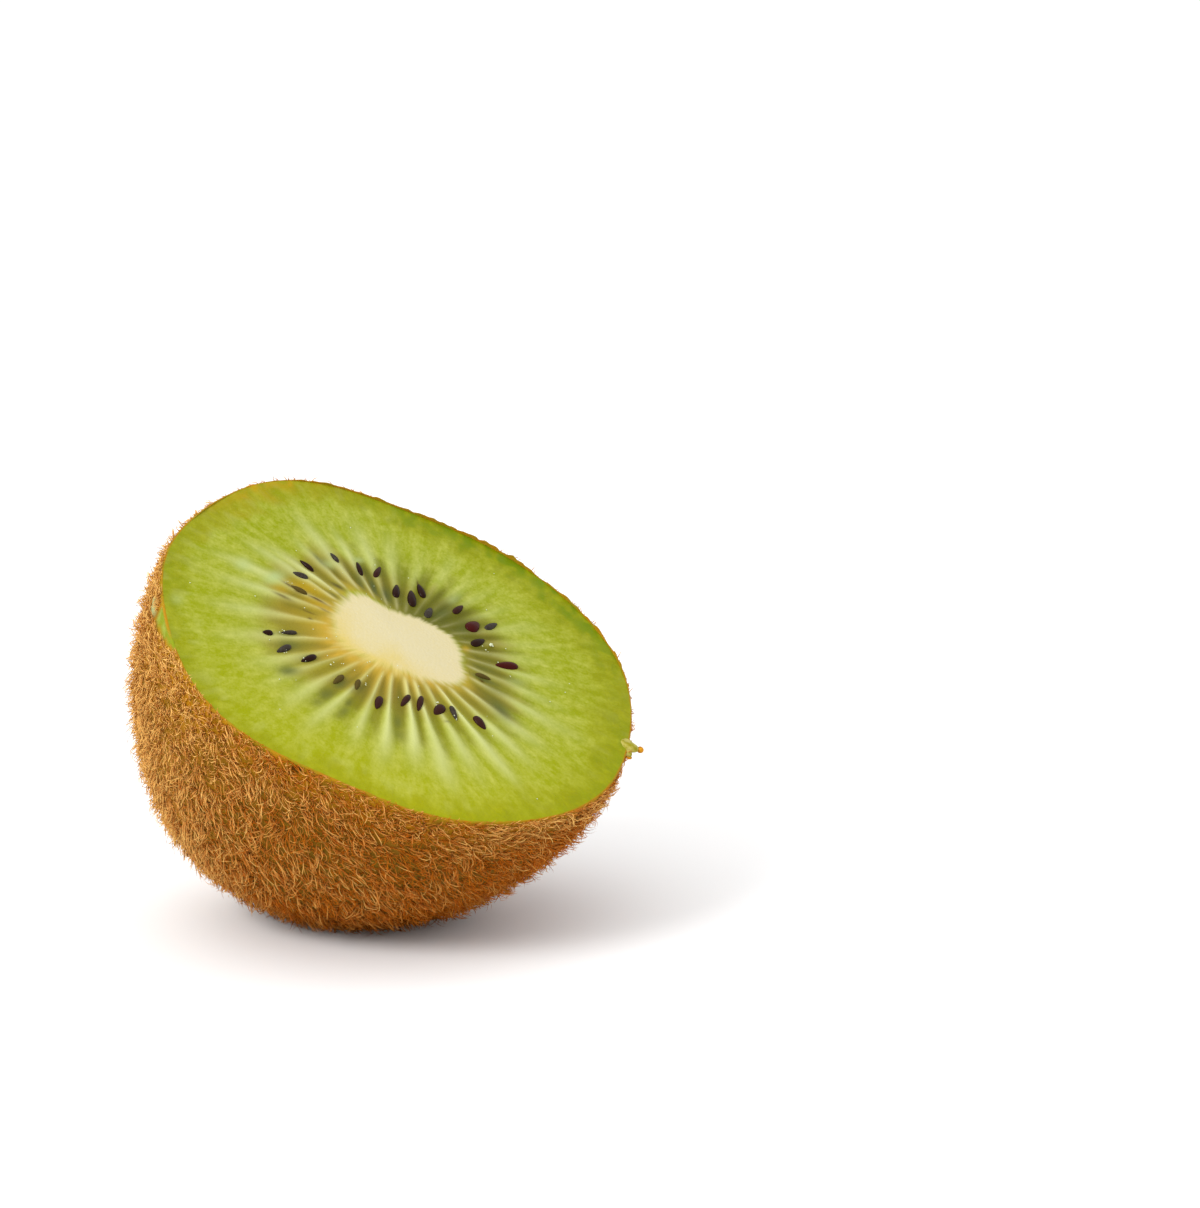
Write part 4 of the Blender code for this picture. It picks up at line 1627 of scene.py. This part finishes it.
    def tubes(self, line: np.ndarray, radius: np.ndarray) -> tuple[np.ndarray, np.ndarray]:
        """Tapered three-sided tubes round middle lines.

        Args:
            line: world points by hair and step.
            radius: each hair's radius at the root.

        Returns:
            Vertices and triangles.
        """
        count, segments = len(line), line.shape[1] - 1
        ahead = np.diff(line, axis=1)
        ahead = np.concatenate([ahead, ahead[:, -1:]], axis=1)
        ahead /= np.linalg.norm(ahead, axis=-1, keepdims=True) + 1e-12
        side = np.cross(ahead, np.array([0.31, 0.52, 0.79]))
        side /= np.linalg.norm(side, axis=-1, keepdims=True) + 1e-12
        other = np.cross(ahead, side)
        rings = []
        for number in range(segments):
            size = (radius * (1.0 - 0.6 * number / segments))[:, None, None]
            turns = np.arange(self.sides) * 2.0 * math.pi / self.sides
            ring = (np.cos(turns)[None, :, None] * side[:, number, None] + np.sin(turns)[None, :, None]
                    * other[:, number, None])
            rings.append(line[:, number, None] + ring * size)
        vertices = np.concatenate(rings + [line[:, -1:]], axis=1)
        pattern = [(0, 2, 1)]
        for number in range(segments - 1):
            low = number * self.sides
            for k in range(self.sides):
                following = (k + 1) % self.sides
                pattern.append((low + k, low + following, low + self.sides + following))
                pattern.append((low + k, low + self.sides + following, low + self.sides + k))
        low = (segments - 1) * self.sides
        for k in range(self.sides):
            pattern.append((low + k, low + (k + 1) % self.sides, segments * self.sides))
        each = vertices.shape[1]
        triangles = np.array(pattern)[None] + (np.arange(count) * each)[:, None, None]
        return vertices.reshape(-1, 3), triangles.reshape(-1, 3)

    def grow(self, coat: Coat, material: bpy.types.Material) -> bpy.types.Object:
        """Makes one kind of hair.

        Args:
            coat: the kind.
            material: the hair's material.

        Returns:
            The piece.
        """
        draw = np.random.default_rng(coat.seed)
        guides = max(self.fewest_guides, int(self.skin_area / coat.clump_spacing ** 2))
        lines, roots, tones = [], [], []
        for count in (guides, coat.count):
            bearing, share = self.sample(count, draw)
            depth = share * self.form.half_length
            frames = self.frames(bearing, share)
            angle = self.comb(bearing, depth, frames[0]) + draw.normal(0.0, coat.wild, count)
            lift = draw.uniform(*coat.lift, count)
            curl = draw.normal(0.0, coat.curl, count)
            length = draw.uniform(*coat.length, count) * self.trim(bearing, depth)
            lines.append(self.centrelines(frames, angle, lift, curl, length, coat.segments))
            roots.append((bearing, depth, frames[0]))
            tones.append(draw.random(count))
        tree = KDTree(guides)
        for number, point in enumerate(roots[0][2]):
            tree.insert(point, number)
        tree.balance()
        nearest = np.array([tree.find(point)[1] for point in roots[1][2]])
        pull = coat.clump * (np.arange(coat.segments + 1) / coat.segments) ** self.clump_power
        own, guide = lines[1], lines[0][nearest]
        line = own + (guide - own) * pull[None, :, None]
        world = self.form.to_world(line)
        world[..., 2] = np.maximum(world[..., 2], self.ground * MM)
        thick = coat.radius * MM * draw.uniform(*self.thickness_spread, coat.count)
        vertices, triangles = self.tubes(world, thick)
        vertices[:, 2] = np.maximum(vertices[:, 2], self.lowest_side * MM)
        bearing, depth, point = roots[1]
        chance = coat.gold + 0.7 * tones[1] + 0.3 * tones[0][nearest] + 0.5 * (noise(point, 4.5, 43) - 0.5)
        tone = self.tone(bearing, depth, chance, draw)
        along = np.concatenate([np.repeat(np.arange(coat.segments) / coat.segments, self.sides), [1.0]])
        # Hairs within a few mm of the table are pushed towards the root colour: a painted shade where the
        # fruit meets the table.
        painted_floor_shade = 0.35 + 0.65 * step(0.5, 5.0, vertices[:, 2] / MM)
        # coat.tip scales the whole hair's lightness; below 1 it is a painted shade for hairs seen against the
        # light.
        lightness_with_painted_shade = np.tile(0.4 + 0.6 * along, coat.count) * painted_floor_shade * coat.tip
        shade = np.stack([np.repeat(tone[0], len(along)), lightness_with_painted_shade, np.repeat(tone[1], len(along))], axis=-1)
        return self.piece(coat.name, vertices, triangles, shade, material)

    def trim(self, bearing: np.ndarray, depth: np.ndarray) -> np.ndarray:
        """How much of its length a hair has: those by the rim are rubbed short, most of all behind."""
        off = np.abs((bearing - 68.0 + 180.0) % 360.0 - 180.0)
        behind = (1.0 - step(72.0, 104.0, off)) * (1.0 - step(1.5, 5.0, depth))
        front = around(bearing, 280.0, 70.0) * (1.0 - step(0.5, 3.5, depth))
        wedge = around(bearing, 197.0, 13.0) * (1.0 - step(2.5, 5.0, depth))
        side = around(bearing, 160.0, 26.0) * (1.0 - step(2.0, 7.0, depth)) * (1.0 - behind)
        return 1.0 - 0.5 * behind - 0.3 * front * (1.0 - behind) - 0.3 * np.maximum(wedge, side)

    def tone(self, bearing: np.ndarray, depth: np.ndarray, chance: np.ndarray,
             draw: np.random.Generator) -> tuple[np.ndarray, np.ndarray]:
        """How golden and how rusty each hair is; the extra gold on the left is partly painted light."""
        left = around(bearing, 190.0, 55.0)
        near_rim = 1.0 - step(1.0, 7.0, depth)
        right = around(bearing, 312.0, 46.0) * near_rim
        # The gold added round the left is partly painted light on the side the key lamp lights, over golden
        # hair.
        golden = -0.14 + 1.20 * left - 0.08 * near_rim + 0.35 * around(bearing, 80.0, 60.0) + 0.7 * right
        rusty = (draw.random(len(chance)) > 0.8) * (0.6 - 0.4 * left - 0.3 * near_rim)
        return np.clip(golden + 0.9 * (chance - 0.5), 0.0, 1.0), rusty

    def piece(self, name: str, vertices: np.ndarray, triangles: np.ndarray, shade: np.ndarray,
              material: bpy.types.Material) -> bpy.types.Object:
        """Turns arrays into a finished piece."""
        data = bpy.data.meshes.new(name)
        data.vertices.add(len(vertices))
        data.vertices.foreach_set("co", vertices.astype(np.float32).ravel())
        data.loops.add(3 * len(triangles))
        data.loops.foreach_set("vertex_index", triangles.astype(np.int32).ravel())
        data.polygons.add(len(triangles))
        data.polygons.foreach_set("loop_start", np.arange(0, 3 * len(triangles), 3, dtype=np.int32))
        data.update(calc_edges=True)
        data.shade_smooth()
        made = bpy.data.objects.new(name, data)
        bpy.context.collection.objects.link(made)
        write_attribute(made, "hair", shade)
        hand_over(made, None, material)
        return made

    def build(self) -> list[bpy.types.Object]:
        """Makes every kind of hair."""
        material = self.finish.build()
        return [self.grow(coat, material) for coat in self.coats]


@dataclass
class Studio:
    """A white table, soft light and the camera."""

    floor_size: float = 8.0
    floor_colour: str = "F4F4F4"
    floor_roughness: float = 0.9
    floor_shine: float = 0.2
    floor_drop: float = 0.02
    world_strength: float = 1.06
    # A wide, far light stands for the tent's lit roof: where it comes from, its width and strength.
    roof_from: tuple = (-0.25, -0.20, 1.0)
    roof_width: float = 80.0
    roof_strength: float = 0.45
    # Each lamp: name, place in metres, size in metres, power in watts.
    lamps: tuple = (
        ("key", (-0.58, -0.50, 0.55), 0.4, 5.0),
    )
    aim: tuple = (0.0, 0.0, 0.02)
    lens: float = 120.0
    sensor: float = 36.0
    camera_place: tuple = (26.757, -418.914, 123.080)
    camera_tilt: float = 78.0
    nearest_seen: float = 0.01

    def build(self) -> None:
        """Makes the table, the world, the lamps and the camera."""
        self.floor()
        self.world()
        for name, place, size, power in self.lamps:
            light = bpy.data.lights.new(name, "AREA")
            light.shape = "SQUARE"
            light.size = size
            light.energy = power
            self.hang(light, Vector(place), Vector(self.aim) - Vector(place))
        roof = bpy.data.lights.new("roof", "SUN")
        roof.energy = self.roof_strength
        roof.angle = math.radians(self.roof_width)
        self.hang(roof, Vector(), -Vector(self.roof_from))
        self.camera()
        bpy.context.scene.view_settings.view_transform = "Standard"

    def hang(self, light: bpy.types.Light, place: Vector, ahead: Vector) -> None:
        """Puts a light at its place.

        Args:
            light: the light's data.
            place: where it hangs, in metres.
            ahead: the way it shines.
        """
        lamp = bpy.data.objects.new(light.name, light)
        lamp.location = place
        lamp.rotation_euler = ahead.to_track_quat("-Z", "Y").to_euler()
        bpy.context.collection.objects.link(lamp)

    def floor(self) -> None:
        """Makes the white table top."""
        deselect_all()
        bpy.ops.mesh.primitive_plane_add(size=self.floor_size, location=(0.0, 0.0, -self.floor_drop * MM))
        top = bpy.context.object
        top.name = "table_top"
        made, _, shader = new_material("white_paper")
        shader.inputs["Base Color"].default_value = linear(self.floor_colour)
        shader.inputs["Roughness"].default_value = self.floor_roughness
        shader.inputs["Specular IOR Level"].default_value = self.floor_shine
        top.data.materials.append(made)

    def world(self) -> None:
        """Makes the white surroundings."""
        world = bpy.data.worlds.new("white_tent")
        world.use_nodes = True
        sky = world.node_tree.nodes["Background"]
        sky.inputs["Color"].default_value = (1.0, 1.0, 1.0, 1.0)
        sky.inputs["Strength"].default_value = self.world_strength
        bpy.context.scene.world = world

    def camera(self) -> None:
        """Makes the camera, where the photograph was taken from."""
        data = bpy.data.cameras.new("camera")
        data.lens = self.lens
        data.sensor_width = self.sensor
        data.clip_start = self.nearest_seen
        camera = bpy.data.objects.new("camera", data)
        camera.location = Vector(self.camera_place) * MM
        camera.rotation_euler = (math.radians(self.camera_tilt), 0.0, 0.0)
        bpy.context.collection.objects.link(camera)
        bpy.context.scene.camera = camera


def main() -> None:
    """Builds the table, the fruit and its coat."""
    logging.basicConfig(level=logging.INFO, format="%(name)s: %(message)s")
    form = Form()
    pattern = CutPattern(form)
    Studio().build()
    Flesh(form, pattern).build()
    Core(form, pattern).build()
    Skin(form).build()
    SeedRing(form, pattern).build()
    TornScraps(form).build()
    PaintedGlintBeads(form).build()
    Fuzz(form).build()


if __name__ == "__main__":
    main()
